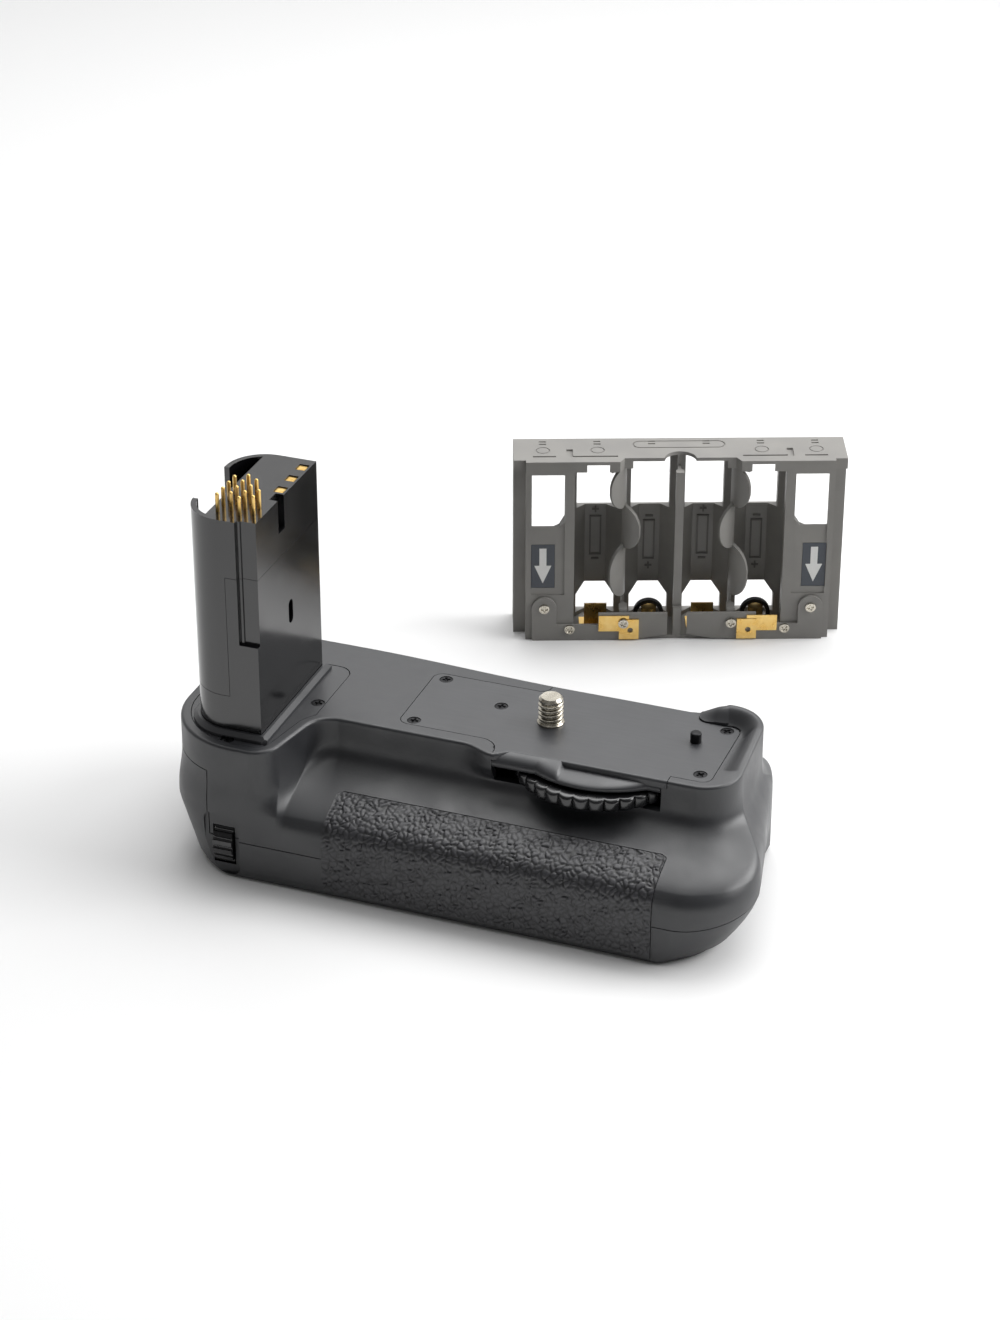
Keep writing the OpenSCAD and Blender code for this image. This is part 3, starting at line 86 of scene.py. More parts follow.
def ring_stack(rings):
    """Closed solid through a stack of level rings: quads between rings, and a ladder of quads across each end."""
    rings = np.asarray(rings, float)
    levels, count = rings.shape[:2]
    k = np.arange(count // 2 - 1)
    ladder = np.stack([k, count - 1 - k, count - 2 - k, k + 1], -1)
    top = ladder[:, ::-1] + (levels - 1) * count
    faces = [*grid_faces(levels, count, wrap_columns=True).tolist(), *ladder.tolist(), *top.tolist()]
    return rings.reshape(-1, 3), faces


def band_faces(count):
    """Faces of two stacked rings of points: the side quads, then the lower and the upper end."""
    k = np.arange(count)
    sides = np.stack([k, (k + 1) % count, (k + 1) % count + count, k + count], -1).tolist()
    return sides + [list(range(count))[::-1], list(range(count, 2 * count))]


def prism(outline, low, high):
    """Upright closed prism over an outline that runs anticlockwise."""
    outline = np.asarray(outline, float)
    ends = [np.c_[outline, np.full(len(outline), z)] for z in (low, high)]
    return np.concatenate(ends), band_faces(len(outline))


def prism_along_x(outline, low, high):
    """Closed prism along x over an outline in y and z."""
    points, faces = prism(outline, low, high)
    return points[:, [2, 0, 1]], faces


def prism_to_front(outline, near, far):
    """Closed prism over an outline in x and z that runs from y = -near to y = -far."""
    points, faces = prism(outline, near, far)
    return points[:, [0, 2, 1]] * [1, -1, 1], faces


def block(low, high):
    """Box between two corners."""
    (x0, y0, z0), (x1, y1, z1) = low, high
    return prism([[x0, y0], [x1, y0], [x1, y1], [x0, y1]], z0, z1)


def rod(centre, axis, radius, length, sides=64):
    """Closed cylinder about a point, its axis given by a direction."""
    axis = np.asarray(axis, float) / np.linalg.norm(axis)
    side = np.cross(axis, [0.3, 0.5, 0.81])
    side /= np.linalg.norm(side)
    up = np.cross(axis, side)
    t = np.arange(sides) * 2 * np.pi / sides
    circle = radius * (np.cos(t)[:, None] * side + np.sin(t)[:, None] * up)
    ends = [circle + np.asarray(centre) + s * axis * length / 2 for s in (-1, 1)]
    return np.concatenate(ends), band_faces(sides)


def rounded(low, high, radius, steps=8):
    """Rectangle with rounded corners as an anticlockwise outline."""
    t = np.linspace(0, np.pi / 2, steps)
    corners = [(high[0] - radius, low[1] + radius, -np.pi / 2), (high[0] - radius, high[1] - radius, 0),
               (low[0] + radius, high[1] - radius, np.pi / 2), (low[0] + radius, low[1] + radius, np.pi)]
    return np.concatenate([np.c_[x + radius * np.cos(t + a), y + radius * np.sin(t + a)] for x, y, a in corners])


def gather(name, parts):
    """Several closed shapes as one object."""
    points, faces, start = [], [], 0
    for p, f in parts:
        points.append(np.asarray(p, float).reshape(-1, 3))
        faces += [[i + start for i in face] for face in f]
        start += len(points[-1])
    return make_object(name, np.concatenate(points), faces)


def cut(thing, operation, tool):
    """One Boolean step of an object with a tool."""
    step = thing.modifiers.new(operation, "BOOLEAN")
    step.operation, step.solver, step.object = operation, "MANIFOLD", tool


def settle(thing, tools):
    """Makes an object's modifiers real and deletes the tools that they used."""
    bpy.context.view_layer.update()
    shown = thing.evaluated_get(bpy.context.evaluated_depsgraph_get())
    result = bpy.data.meshes.new_from_object(shown)
    thing.modifiers.clear()
    thing.data = result
    for tool in tools:
        bpy.data.objects.remove(tool)


def carve(name, solid, cutters, keep=None):
    """The solid less its cutters, and inside keep where that is given, as a plain mesh object."""
    base = make_object(name, *solid)
    steps = [("DIFFERENCE", make_object(name + "_tool", *c)) for c in cutters]
    if keep is not None:
        steps.insert(0, ("INTERSECT", make_object(name + "_keep", *keep)))
    for operation, tool in steps:
        cut(base, operation, tool)
    settle(base, [tool for operation, tool in steps])
    return base


def softened(node_name, body, material, width=0.25, cutters=()):
    """Copy of a CAD node, less any cutters, with its flat faces merged and its edges rounded by a small bevel."""
    thing = bpy.data.objects.new(node_name + "_soft", nodes[node_name].data.copy())
    bpy.context.scene.collection.objects.link(thing)
    weld = thing.modifiers.new("weld", "WELD")
    weld.merge_threshold = 0.002 * MM
    tools = [make_object(node_name + "_tool", *c) for c in cutters]
    for tool in tools:
        cut(thing, "DIFFERENCE", tool)
    flats = thing.modifiers.new("flats", "DECIMATE")
    flats.decimate_type, flats.angle_limit = "DISSOLVE", math.radians(1)
    edge = thing.modifiers.new("edge", "BEVEL")
    edge.width, edge.segments = width * MM, 2
    edge.limit_method, edge.angle_limit = "ANGLE", math.radians(35)
    settle(thing, tools)
    finish_piece(thing, body, material, 40, (node_name,))
    even_shading(thing)


# Materials

def linear(code):
    """sRGB hex colour as linear red, green, blue and alpha."""
    c = np.array([int(code[i:i + 2], 16) for i in (1, 3, 5)]) / 255
    return (*np.where(c <= 0.04045, c / 12.92, ((c + 0.055) / 1.055) ** 2.4), 1.0)


def add(tree, kind, inputs=None, **settings):
    """One shader node: its settings, then its inputs, each a number, a colour or the socket that feeds it."""
    made = tree.nodes.new(kind)
    for key, value in settings.items():
        setattr(made, key, value)
    for key, value in (inputs or {}).items():
        if isinstance(value, bpy.types.NodeSocket):
            tree.links.new(value, made.inputs[key])
        else:
            made.inputs[key].default_value = value
    return made


def new_material(name, **sockets):
    """Material with a Principled shader whose plain sockets are set at once."""
    made = bpy.data.materials.new(name)
    made.use_nodes = True
    tree = made.node_tree
    shader = tree.nodes["Principled BSDF"]
    for key, value in sockets.items():
        shader.inputs[key.replace("_", " ")].default_value = value
    return made, tree, shader


def per_mm(size):
    """Texture scale that gives a feature of that many millimetres on Object coordinates."""
    return 1 / (size * MM)


def speckled(name, dark, light, roughness, grain_mm, bump, spread_mm=9.0, rough_swing=0.08, **sockets):
    """A surface with a fine grain in its bump and a slow drift in its colour and gloss."""
    made, tree, shader = new_material(name, **sockets)
    place = add(tree, "ShaderNodeTexCoord").outputs["Object"]
    grain = add(tree, "ShaderNodeTexNoise", {"Vector": place, "Scale": per_mm(grain_mm), "Detail": 3.0})
    drift = add(tree, "ShaderNodeTexNoise", {"Vector": place, "Scale": per_mm(spread_mm), "Detail": 4.0})
    tone = add(tree, "ShaderNodeValToRGB", {"Fac": drift.outputs["Fac"]})
    tone.color_ramp.elements[0].position, tone.color_ramp.elements[1].position = 0.3, 0.72
    tone.color_ramp.elements[0].color, tone.color_ramp.elements[1].color = linear(dark), linear(light)
    tree.links.new(tone.outputs["Color"], shader.inputs["Base Color"])
    gloss = add(tree, "ShaderNodeMapRange", {"Value": drift.outputs["Fac"], "From Min": 0.3, "From Max": 0.7,
                                             "To Min": roughness - rough_swing, "To Max": roughness + rough_swing})
    tree.links.new(gloss.outputs["Result"], shader.inputs["Roughness"])
    relief = add(tree, "ShaderNodeBump", {"Height": grain.outputs["Fac"], "Strength": bump, "Distance": 0.05 * MM})
    tree.links.new(relief.outputs["Normal"], shader.inputs["Normal"])
    return made


def scuffed(name, dark, light, roughness):
    """A speckled surface whose gloss also changes in long thin streaks along x, about 9 mm by 0.7 mm."""
    made = speckled(name, dark, light, roughness, 0.4, 0.2, Specular_IOR_Level=0.8)
    tree = made.node_tree
    shader = tree.nodes["Principled BSDF"]
    place = add(tree, "ShaderNodeTexCoord").outputs["Object"]
    long = add(tree, "ShaderNodeVectorMath", {0: place, 1: (0.08, 1.0, 1.0)}, operation="MULTIPLY")
    streak = add(tree, "ShaderNodeTexNoise", {"Vector": long.outputs["Vector"], "Scale": per_mm(0.7), "Detail": 3.0})
    gloss = add(tree, "ShaderNodeMapRange", {"Value": streak.outputs["Fac"], "From Min": 0.35, "From Max": 0.7,
                                             "To Min": roughness + 0.02, "To Max": roughness - 0.03})
    tree.links.new(gloss.outputs["Result"], shader.inputs["Roughness"])
    return made


# ABS from a spark-eroded mould: matte charcoal with a fine even tooth, drawn at 0.35 mm so that it shows.
moulded_abs = speckled("moulded_abs", "#292a2d", "#2f3033", 0.42, 0.35, 0.35, Specular_IOR_Level=0.8)
# The same resin from a smoother mould: flatter and a little shinier.
satin_abs = speckled("satin_abs", "#2e2f32", "#343538", 0.38, 0.5, 0.12, Specular_IOR_Level=0.8)
# The same resin on the deck plate, rubbed by cameras: fine scuffs that run along it.
worn_abs = scuffed("worn_abs", "#2f3033", "#353639", 0.42)
# Polycarbonate from a polished mould: deep black with a mirror-like skin that only dust breaks.
polished_polycarbonate = speckled("polished_polycarbonate", "#0c0c0e", "#101012", 0.16, 0.8, 0.02, 14.0, 0.04,
                                  Specular_IOR_Level=1.0)
# Hard rubber of the tightening wheel: black with a rounded wet-looking shine.
hard_rubber = speckled("hard_rubber", "#161618", "#1d1d1f", 0.24, 0.5, 0.06, Specular_IOR_Level=0.8)
# Nickel plate on turned brass: warm silver with a soft turned sheen.
nickel_plate = speckled("nickel_plate", "#b9b3a6", "#cfcabe", 0.26, 0.3, 0.05, 4.0, 0.05, Metallic=1.0)
# Gold plate on spring bronze: warm bright yellow, a little soft from handling.
gold_plate = speckled("gold_plate", "#e6ba66", "#f3d28a", 0.3, 0.3, 0.05, 3.0, 0.06, Metallic=1.0)
# Gear brass: duller and greener than the gold.
gear_brass = speckled("gear_brass", "#a8894a", "#c0a160", 0.32, 0.3, 0.05, 4.0, 0.06, Metallic=1.0)
# Black oxide on steel: dull dark metal.
black_oxide = speckled("black_oxide", "#1d1d1f", "#2a2a2c", 0.4, 0.3, 0.08, 2.0, 0.06, Metallic=0.7)
# Grey ABS of the tray: satin, with a fine tooth.
grey_abs = speckled("grey_abs", "#868481", "#908e8a", 0.5, 0.4, 0.15)
# The same grey on the thin moulded cell outlines, drawn a tone darker: painted shade for the shade that falls between
# their own walls.
painted_shade_grey_abs = speckled("painted_shade_grey_abs", "#5c5956", "#64615e", 0.5, 0.4, 0.15)
# Black moulded nylon of the inner pieces: flat and dark.
black_nylon = speckled("black_nylon", "#141416", "#1b1b1d", 0.5, 0.4, 0.15)
# Glass-epoxy board under green lacquer: smooth, with a slow change of tone.
green_board = speckled("green_board", "#12452a", "#1b5a38", 0.35, 0.6, 0.1, 3.0)
# Natural nylon of the board connector: off-white and satin.
cream_nylon = speckled("cream_nylon", "#d3cdbb", "#ddd8c8", 0.45, 0.4, 0.1)
# Amber polyimide film of the flat lead: brown and shiny.
polyimide_film = speckled("polyimide_film", "#9a5a1e", "#b06c2a", 0.3, 0.6, 0.05, 5.0)
# Printed film of the tray labels, blue-grey, and the flat white ink of its arrows.
slate_film = speckled("slate_film", "#3f444c", "#474c55", 0.4, 0.4, 0.05)
white_ink = speckled("white_ink", "#e9e9e7", "#f2f2f0", 0.5, 0.4, 0.05)

NODE_FINISH = {
    moulded_abs: ["tower_collar", "battery_door", "top_shell", "bottom_shell"],
    satin_abs: ["deck_plate", "shutter_button", "shutter_lock", "af_button", "door_latch"],
    polished_polycarbonate: ["tower_shell", "tower_cap"],
    hard_rubber: ["thumb_wheel", "sub_command_dial", "main_command_dial", "grip_rubber"],
    nickel_plate: ["camera_screw", "tripod_bushing", "wheel_axle", "hinge_pin", "sub_dial_axle", "main_dial_axle",
                   "tray_screws", "board_screws"],
    gold_plate: ["signal_pins", "battery_contacts", "chamber_contacts", "tray_terminals", "cell_contacts"],
    gear_brass: ["screw_gear"],
    black_oxide: ["deck_screws", "collar_screws", "shell_screws", "locating_pin"],
    grey_abs: ["tray_frame", "tray_rail"],
    black_nylon: ["battery_chamber", "pin_block", "board_chips", "shutter_switch", "af_switch", "contact_rings"],
    green_board: ["tower_board", "main_board"],
    cream_nylon: ["board_connector"],
    polyimide_film: ["power_flex"],
    slate_film: ["tray_labels"],
}
for finish, names in NODE_FINISH.items():
    for node_name in names:
        nodes[node_name].data.materials.clear()
        nodes[node_name].data.materials.append(finish)


# Housing form: the same outlines as the CAD loft, drawn finer

DECK_Z = 38.0
BASE_LEFT, BASE_RIGHT, BASE_BACK = 90.8, 61.8, 26.4
BASE_FRONT = 40.0
LEFT_FRONT_R, LEFT_BACK_R, RIGHT_FRONT_R, RIGHT_BACK_R = 21.0, 14.0, 17.0, 8.0
RAKE = math.radians(12.6)
WALL, FLOOR_T, BOTTOM_R = 1.8, 1.4, 2.0
SLANT, SLANT_Z = 5.6, 17.0
RIGHT_SLANT, RIGHT_SLANT_Z = 8.4, 15.0
BASE_LEFT_R = 17.0
FRONT_SHOULDER, FRONT_SOFT = 23.7, 1.65
BACK_SHOULDER, BACK_SOFT = 35.0, 1.2
DECK_FRONT, DECK_BACK_LEFT, DECK_BACK, DECK_RIGHT, DECK_R = 17.3, 20.0, 17.7, 52.4, 10.0
BEND_R, BLOCK_RIGHT = 7.0, 58.8
NECK_X, BLOCK_END, LIP_BACK = (-45.0, 38.0), -48.0, 0.6
LIP_H, LIP_START, LIP_RUN, RIM_R, COVE_W = 3.8, 31.5, 10.0, 0.8, 4.7
PARTING_Z, PARTING_SLOPE = 11.0, 0.16
END_PARTING_Z, END_PARTING_X, SEAM = 29.5, 77.0, 0.12
FAR = 200
ARC_N, BEND_N, NECK_N = 28, 16, 48
FRONT_N = 2 * ARC_N + 2 * BEND_N + NECK_N


def smooth(t):
    """Smooth step from 0 to 1."""
    t = np.clip(t, 0, 1)
    return t * t * (3 - 2 * t)


def arc(centre, radius, start, stop, count):
    """Points on an arc, angles in degrees."""
    a = np.radians(np.linspace(start, stop, count))
    return np.c_[centre[0] + radius * np.cos(a), centre[1] + radius * np.sin(a)]


def deck_back_y(x):
    """Back line of the deck, drawn in towards the middle."""
    return DECK_BACK_LEFT + (DECK_BACK - DECK_BACK_LEFT) * smooth((x + BLOCK_RIGHT) / BLOCK_RIGHT)


def outlines():
    """Deck and base outlines as rings of matching points: the front left to right, then the back right to left."""
    neck = np.linspace(*NECK_X, NECK_N)
    block_x = np.linspace(-BASE_LEFT + LEFT_BACK_R + 4, BLOCK_END, 2 * BEND_N)
    out = np.array([-BLOCK_RIGHT - BEND_R, -BASE_FRONT + BEND_R])
    inn = np.array([-BLOCK_RIGHT + BEND_R + 2, -DECK_FRONT - BEND_R])
    d = inn - out
    turn = math.degrees(math.atan2(d[1], d[0]) + math.asin(2 * BEND_R / np.hypot(*d))) - 90
    left_c = [-BASE_LEFT + LEFT_FRONT_R, -BASE_FRONT + LEFT_FRONT_R]
    base_c = np.array([BASE_RIGHT - RIGHT_FRONT_R, -BASE_FRONT + RIGHT_FRONT_R])
    rake_at = base_c + RIGHT_FRONT_R * np.array([math.cos(RAKE), math.sin(RAKE)])
    back_y = BASE_BACK - RIGHT_BACK_R
    back_x = rake_at[0] - (RIGHT_BACK_R + (back_y - rake_at[1]) * math.sin(RAKE)) / math.cos(RAKE)
    lip_c = [DECK_RIGHT - DECK_R, DECK_BACK + LIP_BACK - DECK_R]
    deck_neck = np.linspace(BLOCK_END, lip_c[0] - 2, NECK_N + 1)[1:]
    base_neck = np.linspace(BLOCK_END, back_x - 2, NECK_N + 1)[1:]
    base_bend = np.linspace(left_c[0], NECK_X[0], 2 * BEND_N + 2)[1:-1]
    deck_front = [arc(left_c, LEFT_FRONT_R, 180, 270, ARC_N), arc(out, BEND_R, 275, 360 + turn, BEND_N),
                  arc(inn, BEND_R, 180 + turn, 92, BEND_N), np.c_[neck, np.full(NECK_N, -DECK_FRONT)],
                  arc([DECK_RIGHT - DECK_R, -DECK_FRONT + DECK_R], DECK_R, 275, 360, ARC_N)]
    deck_back = [arc([-BASE_LEFT + LEFT_BACK_R, DECK_BACK_LEFT - LEFT_BACK_R], LEFT_BACK_R, 180, 90, ARC_N),
                 np.c_[block_x, deck_back_y(block_x)], np.c_[deck_neck, deck_back_y(deck_neck)],
                 arc(lip_c, DECK_R, 100, 4, ARC_N)]
    low_c = [-BASE_LEFT + BASE_LEFT_R, -BASE_FRONT + BASE_LEFT_R]
    base_front = [arc(low_c, BASE_LEFT_R, 180, 270, ARC_N), np.c_[base_bend, np.full(2 * BEND_N, -BASE_FRONT)],
                  np.c_[neck, np.full(NECK_N, -BASE_FRONT)],
                  arc(base_c, RIGHT_FRONT_R, 272, 360 + math.degrees(RAKE), ARC_N)]
    base_back = [arc([-BASE_LEFT + LEFT_BACK_R, BASE_BACK - LEFT_BACK_R], LEFT_BACK_R, 180, 90, ARC_N),
                 np.c_[block_x, np.full(2 * BEND_N, BASE_BACK)], np.c_[base_neck, np.full(NECK_N, BASE_BACK)],
                 arc([back_x, back_y], RIGHT_BACK_R, 90, math.degrees(RAKE), ARC_N)]
    deck = np.concatenate(deck_front + [np.concatenate(deck_back)[::-1]])
    base = np.concatenate(base_front + [np.concatenate(base_back)[::-1]])
    return deck, base


DECK_RING, BASE_RING = outlines()
RING_N = len(DECK_RING)
END_RISE = 0.28
BACKNESS = (END_RISE * smooth((np.arange(RING_N) - FRONT_N + ARC_N / 2) / ARC_N)
            + (1 - END_RISE) * smooth((np.arange(RING_N) - FRONT_N - ARC_N) / (NECK_N * 0.6)))
# The front edge swells out just before the window of the wheel: where it starts to rise and to fall, and over what run.
CHEEK_OUT, CHEEK_RISE, CHEEK_FALL = 2.8, (-17.0, 8.6), (-8.2, 4.0)
CHEEK = np.zeros((RING_N, 2))
CHEEK[:FRONT_N, 1] = CHEEK_OUT * (smooth((DECK_RING[:FRONT_N, 0] - CHEEK_RISE[0]) / CHEEK_RISE[1])
                                  * (1 - smooth((DECK_RING[:FRONT_N, 0] - CHEEK_FALL[0]) / CHEEK_FALL[1])))
TOP_RING = DECK_RING - CHEEK
LIP = LIP_H * smooth((DECK_RING[:, 0] - LIP_START) / LIP_RUN) * smooth((DECK_RING[:, 1] + 14.0) / 24.0)


def plan_ring(z, inset=0.0):
    """Outline at one height: the base swells into the deck along a soft step, and the left end slants under it."""
    step = z + inset - (FRONT_SHOULDER + (BACK_SHOULDER - FRONT_SHOULDER) * BACKNESS)
    share = 1 / (1 + np.exp(-step / (FRONT_SOFT + (BACK_SOFT - FRONT_SOFT) * BACKNESS)))
    ring = BASE_RING + (DECK_RING - BASE_RING) * share[:, None] - CHEEK * smooth((z - 29) / 5)
    x = ring[:, 0].copy()
    ring[:, 0] += SLANT * max(0, SLANT_Z - z) / SLANT_Z * smooth((-x - 66) / 18)
    under = (max(0, RIGHT_SLANT_Z - z) / RIGHT_SLANT_Z) ** 1.5
    ring[:, 0] -= RIGHT_SLANT * under * smooth((x - 36) / 20) * smooth((12 - ring[:, 1]) / 24)
    return ring


def inset_ring(ring, inset):
    """Outline moved inwards along its own normals."""
    d = np.roll(ring, -1, 0) - np.roll(ring, 1, 0)
    normal = np.c_[d[:, 1], -d[:, 0]] / np.linalg.norm(d, axis=1)[:, None]
    return ring - inset * normal


def level(ring, z):
    """Plan outline lifted to a height."""
    return np.c_[ring, np.broadcast_to(z, len(ring))]


def housing_rings():
    """Rings of the outer form: rounded bottom edge, side, rounded rim, and the cove behind the lip."""
    turn = np.radians(np.linspace(90, 0, 7)[:-1])
    bottom = [level(inset_ring(plan_ring(0), BOTTOM_R * (1 - math.cos(a))), BOTTOM_R * (1 - math.sin(a)))
              for a in turn]
    runs = (3, 16, 6), (16, 20, 4), (20, 31, 34), (31, 36.4, 16)
    side = [level(plan_ring(z), z) for z in np.unique(np.concatenate([np.linspace(*run) for run in runs]))]
    rim = [level(inset_ring(TOP_RING, RIM_R * (1 - math.cos(a))), DECK_Z + LIP - RIM_R * (1 - math.sin(a)))
           for a in np.radians([0, 25, 50, 70, 90])]
    cove = [level(inset_ring(TOP_RING, RIM_R + COVE_W * t), DECK_Z + LIP * (1 - smooth((t - 0.08) / 0.92)))
            for t in np.linspace(0, 1, 12)[1:]]
    return bottom + side + rim + cove


def hollow_rings():
    """Rings of the space inside the walls."""
    heights = np.r_[FLOOR_T, np.linspace(8, 20, 5), np.linspace(20.5, 28, 16), 31, DECK_Z - 3.6]
    return [level(inset_ring(plan_ring(z, WALL), WALL), z) for z in heights]


def parting(y, shift):
    """A point of the sloping parting line, seen from the end, moved up by shift."""
    return [y, PARTING_Z + PARTING_SLOPE * (y + BASE_FRONT) + shift]


def lower_side(shift):
    """Everything under the parting line, as two closed solids, moved up by shift."""
    slope = [[-FAR, -FAR], [FAR, -FAR], parting(FAR, shift), parting(-FAR, shift)]
    return [prism_along_x(slope, -END_PARTING_X - 1, FAR),
            block((-FAR, -FAR, -FAR), (-END_PARTING_X + shift, FAR, END_PARTING_Z + shift))]


def upper_side(shift):
    """Everything over the parting line, as two closed solids, moved down by shift."""
    slope = [parting(-FAR, -shift), parting(FAR, -shift), [FAR, FAR], [-FAR, FAR]]
    return [prism_along_x(slope, -END_PARTING_X - shift, FAR),
            block((-FAR, -FAR, END_PARTING_Z - shift), (FAR, FAR, FAR))]


# Shared places, as in the CAD
WHEEL_C = np.array([14.7505, -4.4254])
WHEEL_R, WHEEL_Z, WHEEL_TOP = 21.8, 30.3, 33.8
PLATE_Z = 36.0
PLATE_X, PLATE_R, PLATE_FRONT, PLATE_BACK = (-35.9, 45.9), 2.5, (-13.2, -14.4), (13.6, 13.2)
GAP_X, GAP_Y, GAP_R, ARM_X = (-8.4, 36.0), -19.0, 5.0, (-5.5, 33.9)
PLATE_END = 40
PLATE_SCREWS = [(5.1 + sx * 37.5, sy * 11.1) for sx in (-1, 1) for sy in (-1, 1)] + [(-14.4, 3.2)]
COLLAR_SCREWS = [(-58.4, -11.4), (-72.3, -36.0), (-86.6, -8.0)]
HEAD_R, SINK_R = 1.68, 1.76
PIN_C, PIN_R = (36.8, 3.6), 1.4
COLLAR_INSET, COLLAR_RIGHT, COLLAR_BACK, COLLAR_R = 2.7, -56.5, 7.8, 4.0
TOWER_X, TOWER_Y, TOWER_TOP, TOWER_R = (-84.0, -63.9), (-33.8, 4.4), 97.5, 10.0
SUB_DIAL_C, MAIN_DIAL_C, DIAL_R, DIAL_W = (-73.0, -33.2, 8.8), (-70.0, 19.6, 9.4), 7.4, 5.2
BEZEL_LOW, BEZEL_HIGH, BEZEL_R, BEZEL_Y = (-78.2, 0.8), (-68.4, 18.2), 2.6, 38.75
SHUTTER_C = (-88.165, -6.0, 9.0)
SHUTTER_N = np.array([-math.cos(math.atan2(SLANT, SLANT_Z)), 0, -math.sin(math.atan2(SLANT, SLANT_Z))])
SHUTTER_BORE_R, AF_BORE_R, BUSH_C, BUSH_R = 6.65, 4.15, (-55.4, -3.0, 0.0), 5.55
AF_C = (-60.0, 26.4, 12.5)
DOOR_X, DOOR_TOP = (-53.3, 46.9), 20.2
SHELL_SCREWS = [(-54.0, -29.5), (-57.0, 17.9), (-82.0, 12.0), (36.0, -35.6)]


def plate_outline(grow):
    """Outline of the deck plate, grown by a seam, as one anticlockwise ring: rounded corners, the gap for the wheel's
    hood in front, and an arm that runs out past the back edge."""
    left, right = PLATE_X[0] - grow, PLATE_X[1] + grow
    gap_left, gap_right = GAP_X[0] - grow, GAP_X[1] + grow
    arm_left, arm_right = ARM_X[0] - grow, ARM_X[1] + grow
    front_left, front_right = PLATE_FRONT[0] - grow, PLATE_FRONT[1] - grow
    back_left, back_right = PLATE_BACK[0] + grow, PLATE_BACK[1] + grow
    r, bend = PLATE_R + grow, PLATE_R
    stretches = [arc([left + r, front_left + r], r, 180, 270, 8),
                 arc([gap_left - GAP_R, front_left - GAP_R], GAP_R, 90, 0, 12),
                 [[gap_left, GAP_Y], [gap_right, GAP_Y], [gap_right, front_right]],
                 arc([right - r, front_right + r], r, 270, 360, 8),
                 arc([right - r, back_right - r], r, 0, 90, 8),
                 arc([arm_right + bend, back_right + bend], bend, 270, 180, 8),
                 [[arm_right, PLATE_END], [arm_left, PLATE_END]],
                 arc([arm_left - bend, back_left + bend], bend, 0, -90, 8),
                 arc([left + r, back_left - r], r, 90, 180, 8)]
    return np.concatenate([np.asarray(stretch, float) for stretch in stretches])


def tower_outline(grow):
    """Outline of the tower: flat to the right, two round corners to the left."""
    r = TOWER_R + grow
    x0, x1, y0, y1 = TOWER_X[0] - grow, TOWER_X[1] + grow, TOWER_Y[0] - grow, TOWER_Y[1] + grow
    front, back = arc([x0 + r, y0 + r], r, 180, 270, 16), arc([x0 + r, y1 - r], r, 90, 180, 16)
    return np.concatenate([front, [[x1, y0], [x1, y1]], back])


def collar_outline(grow):
    """Outline of the plate round the tower's foot: inside the deck's rim, with a straight right side and back."""
    ring = inset_ring(DECK_RING, COLLAR_INSET - grow)
    right, back = COLLAR_RIGHT + grow, COLLAR_BACK + grow
    inside = np.flatnonzero((ring[:, 0] < right) & (ring[:, 1] < back))
    split = np.argmax(np.diff(inside)) + 1
    a, b = ring[inside[split - 1]], ring[inside[split - 1] + 1]
    c, d = ring[inside[split] - 1], ring[inside[split]]
    front_end = a + (b - a) * (right - a[0]) / (b[0] - a[0])
    back_end = c + (d - c) * (back - c[1]) / (d[1] - c[1])
    corner = arc([right - COLLAR_R, back - COLLAR_R], COLLAR_R, 0, 90, 8)
    return np.concatenate([ring[inside[:split]], [front_end], corner, [back_end], ring[inside[split:]]])


def front_surface(z):
    """Front of the housing between the bends: the base line swelling back into the neck."""
    share = 1 / (1 + np.exp(-(z - FRONT_SHOULDER) / FRONT_SOFT))
    return -BASE_FRONT + (BASE_FRONT - DECK_FRONT) * share


PANEL_X, PANEL_Z, PANEL_CORNER = (-46.0, 40.0), (2.0, 23.9), 1.4


def panel_patch(grow, low, high, columns=90, rows=64, dent=None):
    """Closed patch over the front: even steps along the surface, rounded top corners, and two offsets from it, the
    outer one dented."""
    z = np.linspace(PANEL_Z[0] - grow, PANEL_Z[1] + grow, 400)
    y = front_surface(z)
    run = np.r_[0, np.cumsum(np.hypot(np.diff(y), np.diff(z)))]
    s = np.linspace(0, run[-1], rows)
    z = np.interp(s, run, z)
    r = PANEL_CORNER + grow
    up = np.clip(s - (run[-1] - r), 0, r)
    pull = r - np.sqrt(r * r - up * up)
    u = np.linspace(0, 1, columns)[None, :]
    x0, x1 = PANEL_X[0] - grow + pull[:, None], PANEL_X[1] + grow - pull[:, None]
    x = x0 + (x1 - x0) * u
    zz = np.broadcast_to(z[:, None], x.shape)
    h = 0.02
    slope = (front_surface(zz + h) - front_surface(zz - h)) / (2 * h)
    n = np.stack([np.zeros_like(x), -np.ones_like(x), slope], -1)
    n /= np.linalg.norm(n, axis=-1)[..., None]
    mid = np.stack([x, front_surface(zz), zz], -1)
    lift = high if dent is None else high - dent(x, np.broadcast_to(s[:, None], x.shape))[..., None]
    rings = np.stack([mid + low * n, mid + lift * n])
    count = rows * columns
    quads = grid_faces(rows, columns)
    edge = np.r_[np.arange(columns), np.arange(1, rows) * columns + columns - 1,
                 count - 2 - np.arange(columns - 1), (rows - 2 - np.arange(rows - 2)) * columns]
    nxt = np.roll(edge, -1)
    wall = np.stack([edge, nxt, nxt + count, edge + count], -1)
    faces = quads[:, ::-1].tolist() + (quads + count).tolist() + wall.tolist()
    uv = np.stack([x, np.broadcast_to(s[:, None], x.shape)], -1).reshape(-1, 2)
    return rings.reshape(-1, 3), faces, np.tile(uv, (2, 1))


